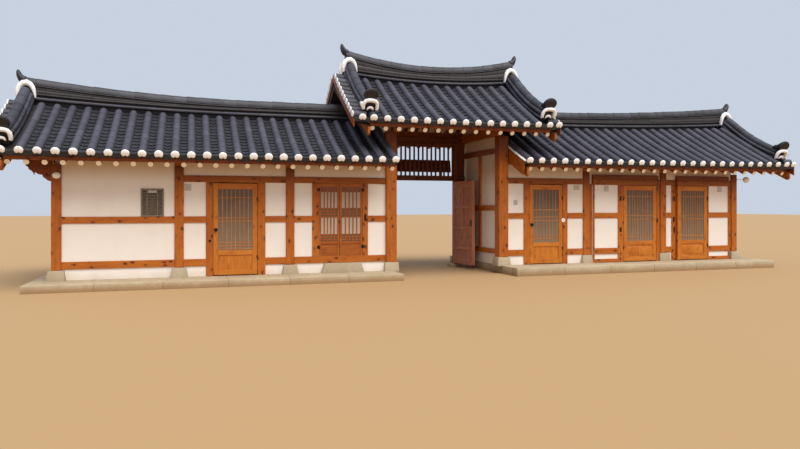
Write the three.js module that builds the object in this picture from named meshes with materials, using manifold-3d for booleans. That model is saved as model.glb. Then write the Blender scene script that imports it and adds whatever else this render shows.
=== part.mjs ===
// A Korean gatehouse row: a tall gate between two lower wings, seen from the courtyard.
// Millimetres, +X along the front, +Y into the building, +Z up, ground at zero.
// The origin lies under the middle of the whole, at ground level.
import * as THREE from 'three';
import { mergeVertices } from 'three/addons/utils/BufferGeometryUtils.js';
import Module from 'manifold-3d';

const wasm = await Module();
wasm.setup();

// Driving dimensions of the plan
const LEFT_BAY = 2400;
const GATE_BAY = 2950;
const RIGHT_BAY = 2430;
const DEPTH = 2500;
const LEFT_VERGE = 1110;
const RIGHT_VERGE = 1220;
const GATE_VERGE = 1110;
const EAVE = 970;

// Levels of the two plinths, and heights above each plinth
const LEFT_BASE = 150;
const RIGHT_BASE = 200;
const STONE_TOP = 210;
const SILL = [230, 385];
const MID_RAIL = [1180, 1320];
const LINTEL = [2070, 2215];
const POST_TOP = 2400;
const BEAM_TOP = 2620;

// Timber and wall thicknesses
const POST = 190;
const GATE_POST = 260;
const WALL = 100;
const RAIL_OUT = 78;
const PLATE = 160;
const RAFTER_RADIUS = 54;
const RAFTER_SPACING = 325;
const GAP = 0.3;

// Roof form: mortar and tile bed over the rafters
const RIDGE_HALF = 130;
const LIP = 170;
const LIP_THICK = 35;
const FASCIA = [-870, -800];

const POST_X = [0, LEFT_BAY, 2 * LEFT_BAY, 3 * LEFT_BAY];
const GATE_RIGHT = POST_X[3] + GATE_BAY;
POST_X.push(GATE_RIGHT, GATE_RIGHT + RIGHT_BAY, GATE_RIGHT + 2 * RIGHT_BAY, GATE_RIGHT + 3 * RIGHT_BAY);
const LAST_POST = POST_X[7];
const MIDDLE_Y = DEPTH / 2;
const GATE_MIDDLE = (POST_X[3] + GATE_RIGHT) / 2;

// Finishes of the real materials
const PINE = { color: 0xb5652a, roughness: 0.6, metalness: 0 };
const DARK_PINE = { color: 0x6a3418, roughness: 0.65, metalness: 0 };
const PLASTER = { color: 0xe9e4dc, roughness: 0.9, metalness: 0 };
const GRANITE = { color: 0xbdb8ae, roughness: 0.85, metalness: 0 };
const TILE = { color: 0x3d4048, roughness: 0.75, metalness: 0 };
const BRONZE = { color: 0x6d6a66, roughness: 0.45, metalness: 0.7 };
const OPAL = { color: 0xf2efe8, roughness: 0.3, metalness: 0 };

const building = new THREE.Group();
const site = new THREE.Group();
site.position.set(-(LAST_POST + RIGHT_VERGE - LEFT_VERGE) / 2, -MIDDLE_Y, 0);
building.add(site);

// Closed three.js geometry to a solid, and back
function solid(geometry) {
  const bare = geometry.clone();
  bare.deleteAttribute('normal');
  bare.deleteAttribute('uv');
  const merged = mergeVertices(bare, 1e-3);
  const vertProperties = new Float32Array(merged.attributes.position.array);
  const triVerts = new Uint32Array(merged.index.array);
  return new wasm.Manifold(new wasm.Mesh({ numProp: 3, vertProperties, triVerts }));
}

function geometryOf(manifold) {
  const mesh = manifold.getMesh();
  const geometry = new THREE.BufferGeometry();
  geometry.setAttribute('position', new THREE.BufferAttribute(new Float32Array(mesh.vertProperties), 3));
  geometry.setIndex(new THREE.BufferAttribute(new Uint32Array(mesh.triVerts), 1));
  geometry.computeVertexNormals();
  return geometry;
}

function fuse(...parts) {
  return parts.flat().reduce((whole, part) => whole.add(part));
}

function block(x0, x1, y0, y1, z0, z1) {
  const geometry = new THREE.BoxGeometry(x1 - x0, y1 - y0, z1 - z0);
  geometry.translate((x0 + x1) / 2, (y0 + y1) / 2, (z0 + z1) / 2);
  return solid(geometry);
}

// An outline in the Y-Z plane given thickness along X
function slabAcross(points, x0, x1) {
  const shape = new THREE.Shape(points.map(([y, z]) => new THREE.Vector2(y, z)));
  const geometry = new THREE.ExtrudeGeometry(shape, { depth: x1 - x0, bevelEnabled: false });
  geometry.applyMatrix4(new THREE.Matrix4().set(0, 0, 1, x0, 1, 0, 0, 0, 0, 1, 0, 0, 0, 0, 0, 1));
  return solid(geometry);
}

// An outline in the X-Z plane given thickness along Y
function slabAlong(points, y0, y1) {
  const shape = new THREE.Shape(points.map(([x, z]) => new THREE.Vector2(x, z)));
  const geometry = new THREE.ExtrudeGeometry(shape, { depth: y1 - y0, bevelEnabled: false });
  geometry.applyMatrix4(new THREE.Matrix4().set(1, 0, 0, 0, 0, 0, -1, y1, 0, 1, 0, 0, 0, 0, 0, 1));
  return solid(geometry);
}

// A skin over rings of matching points, capped at both ends; flat is the pair of axes of a cap
function loft(rings, flat) {
  const count = rings[0].length;
  const positions = rings.flat(2);
  const faces = [];
  for (let ring = 0; ring + 1 < rings.length; ring += 1) {
    for (let k = 0; k < count; k += 1) {
      const next = (k + 1) % count;
      const a = ring * count + k;
      const b = ring * count + next;
      faces.push(a, b, b + count, a, b + count, a + count);
    }
  }
  const outline = rings[0].map((p) => new THREE.Vector2(p[flat[0]], p[flat[1]]));
  const last = (rings.length - 1) * count;
  const turned = THREE.ShapeUtils.area(outline) < 0;
  for (const [a, b, c] of THREE.ShapeUtils.triangulateShape(outline, [])) {
    const [second, third] = turned ? [c, b] : [b, c];
    faces.push(a, third, second, last + a, last + second, last + third);
  }
  const geometry = new THREE.BufferGeometry();
  geometry.setAttribute('position', new THREE.Float32BufferAttribute(positions, 3));
  geometry.setIndex(faces);
  let made = solid(geometry);
  if (made.volume() < 0) {
    for (let k = 0; k < faces.length; k += 3) {
      [faces[k + 1], faces[k + 2]] = [faces[k + 2], faces[k + 1]];
    }
    geometry.setIndex(faces);
    made = solid(geometry);
  }
  return made;
}

// A round bar with few sides between two points
function bar(from, to, radius, sides) {
  const start = new THREE.Vector3(...from);
  const end = new THREE.Vector3(...to);
  const along = end.clone().sub(start);
  const geometry = new THREE.CylinderGeometry(radius, radius, along.length(), sides);
  const turn = new THREE.Quaternion().setFromUnitVectors(
    new THREE.Vector3(0, 1, 0),
    along.clone().normalize()
  );
  geometry.applyQuaternion(turn);
  geometry.translate(...start.add(end).multiplyScalar(0.5).toArray());
  return solid(geometry);
}

function add(name, made, finish, place = [0, 0, 0]) {
  const mesh = new THREE.Mesh(geometryOf(made), new THREE.MeshStandardMaterial(finish));
  mesh.name = name;
  mesh.position.set(...place);
  site.add(mesh);
  return mesh;
}

// Granite plinths with the tapered stones that carry the posts
const PLINTH_FRONT = 920;
const STONE_HEAD = 150;
const STONE_SPREAD = 35;

// Half widths of a stone at its head and foot
function stoneSize(x) {
  if (x === POST_X[3] || x === GATE_RIGHT) {
    return [165, 178];
  }
  if (x === POST_X[6]) {
    return [166, 175];
  }
  return x === POST_X[5] ? [130, 165] : [STONE_HEAD, STONE_HEAD + STONE_SPREAD];
}

function baseStone(x, y, from, top, grow = 0) {
  const [head, foot] = stoneSize(x).map((size) => size + grow);
  const ring = (h, z) => [[x - h, y - h, z], [x + h, y - h, z], [x + h, y + h, z], [x - h, y + h, z]];
  return loft([ring(foot, from), ring(head, top)], [0, 1]);
}

function baseAt(x) {
  return x < GATE_MIDDLE ? LEFT_BASE : RIGHT_BASE;
}

function plinth(x0, x1, base, postsAt, reach) {
  const back = DEPTH + PLINTH_FRONT;
  const parts = [block(x0, x1, -PLINTH_FRONT, back, 0, base)];
  for (const x of postsAt) {
    const from = reach.includes(x) ? 0 : base - 20;
    parts.push(baseStone(x, 0, from, base + STONE_TOP));
    parts.push(baseStone(x, DEPTH, from, base + STONE_TOP));
  }
  return fuse(parts);
}

// Walls are built round the stones, so each slab is cut to their slope
function roundStones(slab) {
  const cuts = POST_X.flatMap((x) =>
    [0, DEPTH].map((y) => baseStone(x, y, baseAt(x) - 20, baseAt(x) + STONE_TOP + GAP, 2 * GAP))
  );
  return cuts.reduce((whole, cut) => whole.subtract(cut), slab);
}

const LONG_STONE = { x0: 5504, x1: 6528, slope: 80, face: -175, top: 225 };

function longStone() {
  const { x0, x1, slope, face, top } = LONG_STONE;
  const z0 = LEFT_BASE - 20;
  const z1 = LEFT_BASE + top;
  return slabAlong([[x0, z0], [x1, z0], [x1 - slope, z1], [x0 + slope, z1]], face, -WALL / 2 - GAP);
}

const LEFT_PLINTH_X = [-480, POST_X[3] + 60];
const RIGHT_PLINTH_X = [GATE_RIGHT - 40, LAST_POST + 560];
add(
  'left_plinth',
  fuse(plinth(...LEFT_PLINTH_X, LEFT_BASE, POST_X.slice(0, 4), [POST_X[3]]), longStone()),
  GRANITE
);
add('right_plinth', plinth(...RIGHT_PLINTH_X, RIGHT_BASE, POST_X.slice(4), [GATE_RIGHT]), GRANITE);

// Posts stand on their stones, cut square
function post(x, y, base, width, top) {
  const half = width / 2;
  return block(x - half, x + half, y - half, y + half, base + STONE_TOP + GAP, base + top);
}

// A rail planted on the outer face of the wall; side is -1 for the front, 1 for the rear
function rail(x0, x1, base, [z0, z1], side = -1) {
  const inner = WALL / 2 + GAP;
  const y0 = side < 0 ? -RAIL_OUT : DEPTH + inner;
  const y1 = side < 0 ? -inner : DEPTH + RAIL_OUT;
  return block(x0, x1, y0, y1, base + z0, base + z1);
}

// A scalloped bracket beside a corner post, under the end of the wall plate
function cornerBracket(x, y, base, direction) {
  const points = [[0, 2050], [0, POST_TOP + 148], [500, POST_TOP + 148], [485, 2400]];
  points.push([430, 2330], [370, 2240], [180, 2180], [120, 2090]);
  const placed = points.map(([u, z]) => [x + direction * u, base + z]);
  return slabAlong(placed, y - 55, y + 55);
}

// Door jambs with a head: full depth in the wall, and up over the lintel's lower edge
function jamb(x0, x1, base, bottom, face = -RAIL_OUT) {
  const full = block(x0, x1, face, WALL / 2, base + bottom, base + LINTEL[0] - GAP);
  const tongue = block(x0, x1, face, -WALL / 2 - GAP, base + LINTEL[0] - 60, base + LINTEL[0] + 20);
  return full.add(tongue);
}

const half = POST / 2;
const gateHalf = GATE_POST / 2;
const clearPost = half - 5;

// Left wing, first bay: corner post, two rails and the bracket at the corner
function leftBayOne() {
  const x1 = POST_X[1] - POST / 2 - GAP;
  return fuse(
    post(0, 0, LEFT_BASE, POST, POST_TOP),
    rail(clearPost, x1, LEFT_BASE, SILL),
    rail(clearPost, x1, LEFT_BASE, MID_RAIL),
    cornerBracket(-POST / 2 + 5, 0, LEFT_BASE, -1)
  );
}

// Left wing, second bay: post, lintel and the door's jambs with rails on either side
const LEFT_DOOR = { x0: 3113, x1: 4065, z0: 20, z1: 2050, hinge: 'right', face: -74, handle: 1020 };
const LEFT_JAMBS = [2959, 3107, 4071, 4244];

function leftBayTwo() {
  const x1 = POST_X[2] - POST / 2 - GAP;
  const from = POST_X[1] + clearPost;
  const [a, b, c, d] = LEFT_JAMBS;
  return fuse(
    post(POST_X[1], 0, LEFT_BASE, POST, POST_TOP),
    rail(from, x1, LEFT_BASE, LINTEL),
    jamb(a, b, LEFT_BASE, GAP),
    jamb(c, d, LEFT_BASE, GAP),
    [SILL, MID_RAIL].map((z) => rail(from, a + 5, LEFT_BASE, z)),
    [SILL, MID_RAIL].map((z) => rail(d - 5, x1, LEFT_BASE, z)),
    hingeKnuckles(LEFT_DOOR, LEFT_BASE, 'frame')
  );
}

// Left wing, third bay: post, lintel, sill and the window's jambs
const WINDOW = { x0: 5471, x1: 6496, z0: SILL[1] + 3, z1: LINTEL[0] - 3 };
const WINDOW_JAMBS = [5309, 5465, 6502, 6631];

function leftBayThree() {
  const x1 = POST_X[3] - GATE_POST / 2 - GAP;
  const from = POST_X[2] + clearPost;
  const [a, b, c, d] = WINDOW_JAMBS;
  const foot = SILL[1] - 10;
  return fuse(
    post(POST_X[2], 0, LEFT_BASE, POST, POST_TOP),
    rail(from, x1, LEFT_BASE, LINTEL),
    rail(from, x1, LEFT_BASE, SILL),
    [[a, b], [c, d]].map(([u, v]) =>
      jamb(u, v, LEFT_BASE, SILL[1] + GAP).add(rail(u, v, LEFT_BASE, [foot, SILL[1] + 40]))
    ),
    rail(from, a + 5, LEFT_BASE, MID_RAIL),
    rail(d - 5, x1, LEFT_BASE, MID_RAIL)
  );
}

// Right wing, first bay: lintel and jambs tied to the post on its right
const DOOR_ONE = { x0: 10911, x1: 11861, z0: 20, z1: 2050, hinge: 'right', face: -74, handle: 1020 };
const DOOR_ONE_JAMBS = [10744, 10905, 11867, 12015];

function rightBayOne() {
  const x0 = GATE_RIGHT + GATE_POST / 2 + GAP;
  const to = POST_X[5] - clearPost;
  const [a, b, c, d] = DOOR_ONE_JAMBS;
  return fuse(
    post(POST_X[5], 0, RIGHT_BASE, POST, POST_TOP),
    rail(x0, to, RIGHT_BASE, LINTEL),
    jamb(a, b, RIGHT_BASE, GAP),
    jamb(c, d, RIGHT_BASE, GAP),
    [SILL, MID_RAIL].map((z) => rail(x0, a + 5, RIGHT_BASE, z)),
    [SILL, MID_RAIL].map((z) => rail(d - 5, to, RIGHT_BASE, z)),
    hingeKnuckles(DOOR_ONE, RIGHT_BASE, 'frame')
  );
}

// The doors of the two outer bays stand forward of the posts in a box frame of planks
const PORCH_FACE = -140;
const PORCH_BACK = -112;
const PORCH_HEAD = [2060, 2330];
const DOOR_TWO = { x0: 13692, x1: 14731, z0: 20, z1: 2050, hinge: 'left', face: -136, handle: 1200, lever: true };
const DOOR_THREE = { x0: 15456, x1: 16448, z0: 20, z1: 2050, hinge: 'right', face: -136, handle: 1200, lever: true };
const PORCH_TWO = { x0: 12752, x1: 14825, stile: [13521, 13686], panel: [12752, 13521] };
const PORCH_THREE = { x0: 15434, x1: 17215, stile: [15434, 15450], panel: [16500, 17215] };
const STRIP_STUD = [15300, 15430];
const FOOT_RAIL = [GAP, 95];

function porchRail(x0, x1, [z0, z1]) {
  return block(x0, x1, PORCH_FACE, PORCH_BACK - GAP, RIGHT_BASE + z0, RIGHT_BASE + z1);
}

function porchStud(x0, x1) {
  return block(x0, x1, PORCH_FACE, -WALL / 2 - GAP, RIGHT_BASE + GAP, RIGHT_BASE + PORCH_HEAD[0] + 20);
}

function porchHead({ x0, x1 }) {
  return block(x0, x1, PORCH_FACE, -WALL / 2 - GAP, RIGHT_BASE + PORCH_HEAD[0], RIGHT_BASE + PORCH_HEAD[1]);
}

function rightBayTwo() {
  const { x1, stile, panel } = PORCH_TWO;
  return fuse(
    porchHead(PORCH_TWO),
    porchRail(panel[0], panel[0] + 45, [GAP, PORCH_HEAD[0] + 20]),
    porchStud(...stile),
    porchStud(DOOR_TWO.x1 + 6, x1),
    [SILL, MID_RAIL, FOOT_RAIL].map((z) => porchRail(panel[0] + 20, stile[0] + 20, z)),
    rail(x1 - 20, POST_X[6] - half + 5, RIGHT_BASE, LINTEL),
    post(POST_X[6], 0, RIGHT_BASE, POST, POST_TOP),
    hingeKnuckles(DOOR_TWO, RIGHT_BASE, 'frame')
  );
}

function rightBayThree() {
  const { x1, stile, panel } = PORCH_THREE;
  const from = POST_X[6] + half + GAP;
  return fuse(
    porchHead(PORCH_THREE),
    porchStud(...stile),
    porchStud(DOOR_THREE.x1 + 6, panel[0]),
    [SILL, MID_RAIL, FOOT_RAIL].map((z) => porchRail(panel[0] - 20, panel[1] - 20, z)),
    porchRail(panel[1] - 30, panel[1], [GAP, PORCH_HEAD[1]]),
    rail(from, STRIP_STUD[1] + 20, RIGHT_BASE, LINTEL),
    rail(...STRIP_STUD, RIGHT_BASE, [GAP, LINTEL[0] + 20]),
    [SILL, MID_RAIL].map((z) => rail(from, STRIP_STUD[0] + 20, RIGHT_BASE, z)),
    rail(x1 - 20, LAST_POST - half + 5, RIGHT_BASE, LINTEL),
    post(LAST_POST, 0, RIGHT_BASE, POST, POST_TOP),
    hingeKnuckles(DOOR_THREE, RIGHT_BASE, 'frame')
  );
}

// Hinges: a knuckle on the jamb carries the knuckle of the door that stands on it
const HINGE_AT = [350, 1650];
const KNUCKLE = { radius: 9, height: 45, out: 14, leaf: 34 };

function frameFace(door) {
  return door.face > -100 ? -RAIL_OUT : PORCH_FACE;
}

function hingeAxis(door) {
  const x = door.hinge === 'right' ? door.x1 + 3 : door.x0 - 3;
  return [x, frameFace(door) - KNUCKLE.out];
}

function hingeKnuckles(door, base, side) {
  const [x, y] = hingeAxis(door);
  const toFrame = door.hinge === 'right' ? 1 : -1;
  const direction = side === 'frame' ? toFrame : -toFrame;
  const face = side === 'frame' ? frameFace(door) : door.face;
  const parts = [];
  for (const height of HINGE_AT) {
    const z0 = base + height + (side === 'frame' ? 0 : KNUCKLE.height + GAP);
    const z1 = z0 + KNUCKLE.height;
    parts.push(bar([x, y, z0], [x, y, z1], KNUCKLE.radius, 8));
    const near = x + direction * 2;
    const far = x + direction * KNUCKLE.leaf;
    const y0 = Math.min(y - 3, face - 3);
    parts.push(block(Math.min(near, far), Math.max(near, far), y0, Math.max(y + 3, face + 4), z0, z1));
  }
  return parts;
}

add('left_bay_1_frame', leftBayOne(), PINE);
add('left_bay_2_frame', leftBayTwo(), PINE);
add('left_bay_3_frame', leftBayThree(), PINE);
add('right_bay_1_frame', rightBayOne(), PINE);
add('right_bay_2_frame', rightBayTwo(), PINE);
add('right_bay_3_frame', rightBayThree(), PINE);

// Plaster walls under the wall plate; an opening is cut through the slab
const WALL_TOP = 2549;

function wall(x0, x1, base, openings = []) {
  const inset = GAP;
  let slab = block(x0 + inset, x1 - inset, -WALL / 2, WALL / 2, base + inset, base + WALL_TOP);
  for (const [a, b, z0, z1] of openings) {
    slab = slab.subtract(block(a - GAP, b + GAP, -WALL, WALL, base + z0, base + z1));
  }
  return roundStones(slab);
}

const VENT = { x0: 1624, x1: 2088, z0: MID_RAIL[1], z1: 1920 };
add(
  'left_wall_1',
  wall(half, POST_X[1] - half, LEFT_BASE, [[VENT.x0, VENT.x1, VENT.z0 + GAP, VENT.z1 + GAP]]),
  PLASTER
);
add(
  'left_wall_2',
  wall(POST_X[1] + half, POST_X[2] - half, LEFT_BASE, [[LEFT_JAMBS[0], LEFT_JAMBS[3], -50, LINTEL[0]]]),
  PLASTER
);
add(
  'left_wall_3',
  wall(POST_X[2] + half, POST_X[3] - gateHalf, LEFT_BASE, [[WINDOW_JAMBS[0], WINDOW_JAMBS[3], SILL[1], LINTEL[0]]]),
  PLASTER
);
add(
  'right_wall_1',
  wall(GATE_RIGHT + gateHalf, POST_X[5] - half, RIGHT_BASE, [
    [DOOR_ONE_JAMBS[0], DOOR_ONE_JAMBS[3], -50, LINTEL[0]],
  ]),
  PLASTER
);
const stoneFace = -WALL / 2 + 5;

function porchWall(x0, x1, door, panel) {
  const slab = wall(x0, x1, RIGHT_BASE, [[door.x0 - 6, door.x1 + 6, -50, PORCH_HEAD[0]]]);
  const infill = block(
    panel[0] + GAP, panel[1] - GAP, PORCH_BACK, stoneFace,
    RIGHT_BASE + GAP, RIGHT_BASE + PORCH_HEAD[0] - GAP
  );
  return roundStones(slab.add(infill));
}

add(
  'right_wall_2',
  porchWall(POST_X[5] + half, POST_X[6] - half, DOOR_TWO, PORCH_TWO.panel),
  PLASTER
);
add(
  'right_wall_3',
  porchWall(POST_X[6] + half, LAST_POST - half, DOOR_THREE, [PORCH_THREE.panel[0], PORCH_THREE.panel[1] - 30]),
  PLASTER
);

// Louvred vent in the first bay, standing on the middle rail
function wallVent() {
  const { x0, x1, z0, z1 } = VENT;
  const rim = 35;
  const zs = LEFT_BASE + z0 + 3 * GAP;
  const body = block(x0, x1, -72, 40, zs, LEFT_BASE + z1);
  const recess = block(x0 + rim, x1 - rim, -100, -48, zs + rim, LEFT_BASE + z1 - rim);
  return body.subtract(recess);
}
add('wall_vent', wallVent(), BRONZE);

// Bulkhead lamps beside the corner posts, a round base with a shallow dome
function lamp(height) {
  const profile = [[0, 0], [84, 0], [84, 24], [74, 50], [48, 72], [0, 80]];
  const outline = profile.map(([r, h]) => new THREE.Vector2(r, h));
  const geometry = new THREE.LatheGeometry(outline, 16);
  geometry.rotateX(Math.PI);
  geometry.scale(1, 1, height);
  return solid(geometry);
}
add('left_lamp', lamp(0.7), OPAL, [10, -half - GAP, LEFT_BASE + 2175]);

// The right one stands off the post's side on a tube with a round foot
const LAMP_ARM = 350;
const lampTube = bar([-LAMP_ARM + GAP, -12, 0], [-70, -12, 0], 10, 10);
const lampFoot = bar([-LAMP_ARM + GAP, -12, 0], [-LAMP_ARM + 6, -12, 0], 28, 12);
add(
  'right_lamp',
  fuse(lamp(0.85), lampTube, lampFoot),
  OPAL,
  [LAST_POST + half + LAMP_ARM, -55, RIGHT_BASE + 2255]
);

// Panelled room doors, hung on knuckles; the glazed part is a thinner panel set back
const LEAF = 40;

function roomDoor(door, base) {
  const { x0, x1, z0, z1, face } = door;
  const stile = 105;
  const glass = [560, 1920];
  const leafBody = block(x0, x1, face, face + LEAF, base + z0, base + z1);
  const front = block(x0 + stile, x1 - stile, face - 5, face + 12, base + glass[0], base + glass[1]);
  const behind = block(x0 + stile, x1 - stile, face + 24, face + LEAF + 5, base + glass[0], base + glass[1]);
  const panel = block(x0 + stile, x1 - stile, face - 5, face + 8, base + 130, base + 455);
  const inward = door.hinge === 'right' ? 1 : -1;
  const knobX = inward > 0 ? x0 + 55 : x1 - 55;
  const z = base + door.handle;
  const stem = bar([knobX, face + 5, z], [knobX, face - 44, z], 11, 8);
  const ball = bar([knobX, face - 34, z], [knobX, face - 62, z], 26, 10);
  const ends = [knobX - inward * 10, knobX + inward * 125].sort((a, b) => a - b);
  const lever = block(ends[0], ends[1], face - 56, face - 42, z - 8, z + 8);
  const grip = door.lever ? lever : ball;
  return fuse(leafBody.subtract(front).subtract(behind).subtract(panel), stem, grip, hingeKnuckles(door, base, 'leaf'));
}
add('left_room_door', roomDoor(LEFT_DOOR, LEFT_BASE), PINE);
add('right_room_door_1', roomDoor(DOOR_ONE, RIGHT_BASE), PINE);
add('right_room_door_2', roomDoor(DOOR_TWO, RIGHT_BASE), PINE);
add('right_room_door_3', roomDoor(DOOR_THREE, RIGHT_BASE), PINE);

// Two casements of the lattice window, shut
function casement(x0, x1) {
  const z0 = LEFT_BASE + WINDOW.z0 - 3 + GAP;
  const z1 = LEFT_BASE + WINDOW.z1;
  const body = block(x0, x1, -64, -26, z0, z1);
  const pane = block(x0 + 45, x1 - 45, -80, -50, z0 + 345, z1 - 45);
  const panel = block(x0 + 45, x1 - 45, -80, -54, z0 + 50, z0 + 300);
  return body.subtract(pane).subtract(panel);
}
const windowMiddle = 5951;
add('window_casement_left', casement(WINDOW_JAMBS[1] + GAP, windowMiddle - 3), PINE);
add('window_casement_right', casement(windowMiddle + 3, WINDOW_JAMBS[2] - GAP), PINE);

// The gate: four posts, side walls, door frame with transom, and two leaves
const GATE_TOP = 3470;
const GATE_BASE = [LEFT_BASE, RIGHT_BASE];

function gatePost(x, y, base) {
  const h = GATE_POST / 2;
  return block(x - h, x + h, y - h, y + h, base + STONE_TOP + GAP, GATE_TOP);
}

const SIDE_MID = [1580, 1720];
const SIDE_TOP = [3040, 3180];
const SIDE_FOOT = [480, 600];
const SIDE_STUD_Y = [1080, 1190];

// inward is +1 on the left side of the passage, and -1 on the right
function gateSideFrame(x, base, inward) {
  const face = x + inward * (WALL / 2 + GAP);
  const out = x + inward * 98;
  const [x0, x1] = [Math.min(face, out), Math.max(face, out)];
  const y0 = gateHalf - 5;
  const y1 = DEPTH - gateHalf + 5;
  return fuse(
    gatePost(x, 0, base),
    gatePost(x, DEPTH, base),
    [SIDE_FOOT, SIDE_MID, SIDE_TOP].map(([z0, z1]) => block(x0, x1, y0, y1, z0, z1)),
    block(x0, x1, SIDE_STUD_Y[0], SIDE_STUD_Y[1], SIDE_FOOT[0] + 20, SIDE_TOP[1] - 20)
  );
}
add('gate_side_frame_left', gateSideFrame(POST_X[3], LEFT_BASE, 1), PINE);
add('gate_side_frame_right', gateSideFrame(GATE_RIGHT, RIGHT_BASE, -1), PINE);

// Roofs: each is a record of its level, slopes and the rise of its ridge toward the ends
const WING_EAVE_BED = 2555;
const GATE_EAVE_BED = 3610;
const leftRoof = {
  x0: -LEFT_VERGE, x1: POST_X[3] - 80, low: 3900, base: LEFT_BASE, bed: LEFT_BASE + WING_EAVE_BED,
  slopes: [0.45, 0.57], rafterSlope: 0.5, rise: [185, 15], thick: [495, 135], verge: [true, false],
  vergeIn: [315, 400], ridgeEnd: [210, 290],
};
const rightRoof = {
  x0: GATE_RIGHT + 150, x1: LAST_POST + RIGHT_VERGE, low: 11000, base: RIGHT_BASE,
  bed: RIGHT_BASE + WING_EAVE_BED + 10,
  slopes: [0.44, 0.56], rafterSlope: 0.49, rise: [5, 261], thick: [520, 165], verge: [false, true],
  vergeIn: [400, 400], ridgeEnd: [290, 290],
};
const gateRoof = {
  x0: POST_X[3] - GATE_VERGE, x1: GATE_RIGHT + GATE_VERGE, low: GATE_MIDDLE, base: 0, bed: GATE_EAVE_BED,
  slopes: [0.5, 0.64], rafterSlope: 0.54, rise: [165, 165], thick: [590, 190], verge: [true, true],
  vergeIn: [375, 300], ridgeEnd: [290, 195],
};

const RUN = EAVE + MIDDLE_Y - RIDGE_HALF;

function riseAt(roof, x) {
  const left = x < roof.low;
  const span = left ? roof.low - roof.x0 : roof.x1 - roof.low;
  const share = Math.abs(x - roof.low) / span;
  return roof.rise[left ? 0 : 1] * share * share;
}

function extraAt(roof, x) {
  const left = x < roof.low;
  if (!roof.verge[left ? 0 : 1]) {
    return 0;
  }
  const span = left ? roof.low - roof.x0 : roof.x1 - roof.low;
  const share = Math.abs(x - roof.low) / span;
  return roof.thick[1] * share * share;
}

// Height of the tile bed at x, a run u up the slope from the eave edge
function bedHeight(roof, x, u) {
  const [first, last] = roof.slopes;
  const curve = first * u + ((last - first) * u * u) / (2 * RUN);
  return roof.bed + curve + riseAt(roof, x) * (0.2 + (0.8 * u) / RUN);
}

// Underside of the bed, which is the top of the rafters
const RAFTER_DROP = 160;
function rafterTop(roof, y) {
  const tilt = Math.hypot(1, roof.rafterSlope);
  return roof.bed - RAFTER_DROP + RAFTER_RADIUS * tilt + roof.rafterSlope * (y - FASCIA[0] - 40);
}

function rafterAxis(roof, y) {
  return roof.bed - RAFTER_DROP + roof.rafterSlope * (y - FASCIA[0] - 40);
}

const BED_STEPS = 7;
const STATION_STEP = 850;

function stationsOf(roof) {
  const count = Math.round((roof.x1 - roof.x0) / STATION_STEP);
  return Array.from({ length: count + 1 }, (_, k) => roof.x0 + ((roof.x1 - roof.x0) * k) / count);
}

function deckRing(roof, x) {
  const top = [];
  for (let k = 0; k <= BED_STEPS; k += 1) {
    const u = (RUN * k) / BED_STEPS;
    top.push([u - EAVE, bedHeight(roof, x, u)]);
  }
  const lipBottom = roof.bed - LIP_THICK;
  const inner = LIP - EAVE;
  const under = [
    [inner, rafterTop(roof, inner) + 1],
    [inner, lipBottom],
    [-EAVE, lipBottom],
  ];
  const mirrored = (points) => points.map(([y, z]) => [DEPTH - y, z]).reverse();
  const outline = [...top, ...mirrored(top), ...mirrored(under).slice(0), [MIDDLE_Y, rafterTop(roof, MIDDLE_Y) + 1], ...under];
  return outline.map(([y, z]) => [x, y, z]);
}

function deck(roof) {
  return loft(stationsOf(roof).map((x) => deckRing(roof, x)), [1, 2]);
}

function deckOf(roof, cutters) {
  return cutters.reduce((whole, cutter) => whole.subtract(cutter), deck(roof));
}

// Rafters of one slope, tied at their feet by the fascia board; side is -1 for the front, 1 for the rear
function rafterRow(roof, x0, x1, side) {
  const count = Math.round((x1 - x0) / RAFTER_SPACING);
  const across = (y) => (side < 0 ? y : DEPTH - y);
  const start = FASCIA[0] + 40;
  const end = MIDDLE_Y - RAFTER_RADIUS / 2 - 4;
  const parts = [];
  for (let k = 0; k <= count; k += 1) {
    const x = x0 + ((x1 - x0) * k) / count;
    const low = [x, across(start), rafterAxis(roof, start)];
    const high = [x, across(end), rafterAxis(roof, end)];
    parts.push(bar(low, high, RAFTER_RADIUS, 6));
  }
  const top = roof.bed - LIP_THICK - GAP;
  const [y0, y1] = [across(FASCIA[0]), across(FASCIA[1] - GAP)];
  parts.push(block(x0 - 60, x1 + 60, Math.min(y0, y1), Math.max(y0, y1), top - 82, top));
  return fuse(parts);
}

// Wall plates and ridge purlin, tie beams with king posts, and barge boards at the verges
function plateTop(roof, y = PLATE / 2) {
  const tilt = Math.hypot(1, roof.rafterSlope);
  return rafterAxis(roof, -y) - RAFTER_RADIUS * tilt - GAP;
}

const RIDGE_PURLIN_HALF = 70;
const RIDGE_PURLIN_DEEP = 110;

function ridgePurlinTop(roof) {
  return plateTop(roof, RIDGE_PURLIN_HALF - MIDDLE_Y);
}

function roofFrame(roof, x0, x1, beamsAt, beamZ, beamHalf, overhang) {
  const top = plateTop(roof);
  const parts = [];
  for (const y of [0, DEPTH]) {
    parts.push(block(x0, x1, y - PLATE / 2, y + PLATE / 2, beamZ[1] - 70, top));
  }
  const purlinTop = ridgePurlinTop(roof);
  const [y0, y1] = [MIDDLE_Y - RIDGE_PURLIN_HALF, MIDDLE_Y + RIDGE_PURLIN_HALF];
  parts.push(block(x0, x1, y0, y1, purlinTop - RIDGE_PURLIN_DEEP, purlinTop));
  beamsAt.forEach((x) => {
    parts.push(block(x - beamHalf, x + beamHalf, -overhang, DEPTH + overhang, beamZ[0] + GAP, beamZ[1]));
    parts.push(block(x - beamHalf, x + beamHalf, MIDDLE_Y - 80, MIDDLE_Y + 80, beamZ[1] - 10, purlinTop - 100));
  });
  return fuse(parts);
}

const BARGE_THICK = 50;
const BARGE_IN = 80;
const BARGE_DEEP = 230;
const LEFT_BARGE_IN = [280, 320];
const INNER_BARGE = 80;

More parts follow.
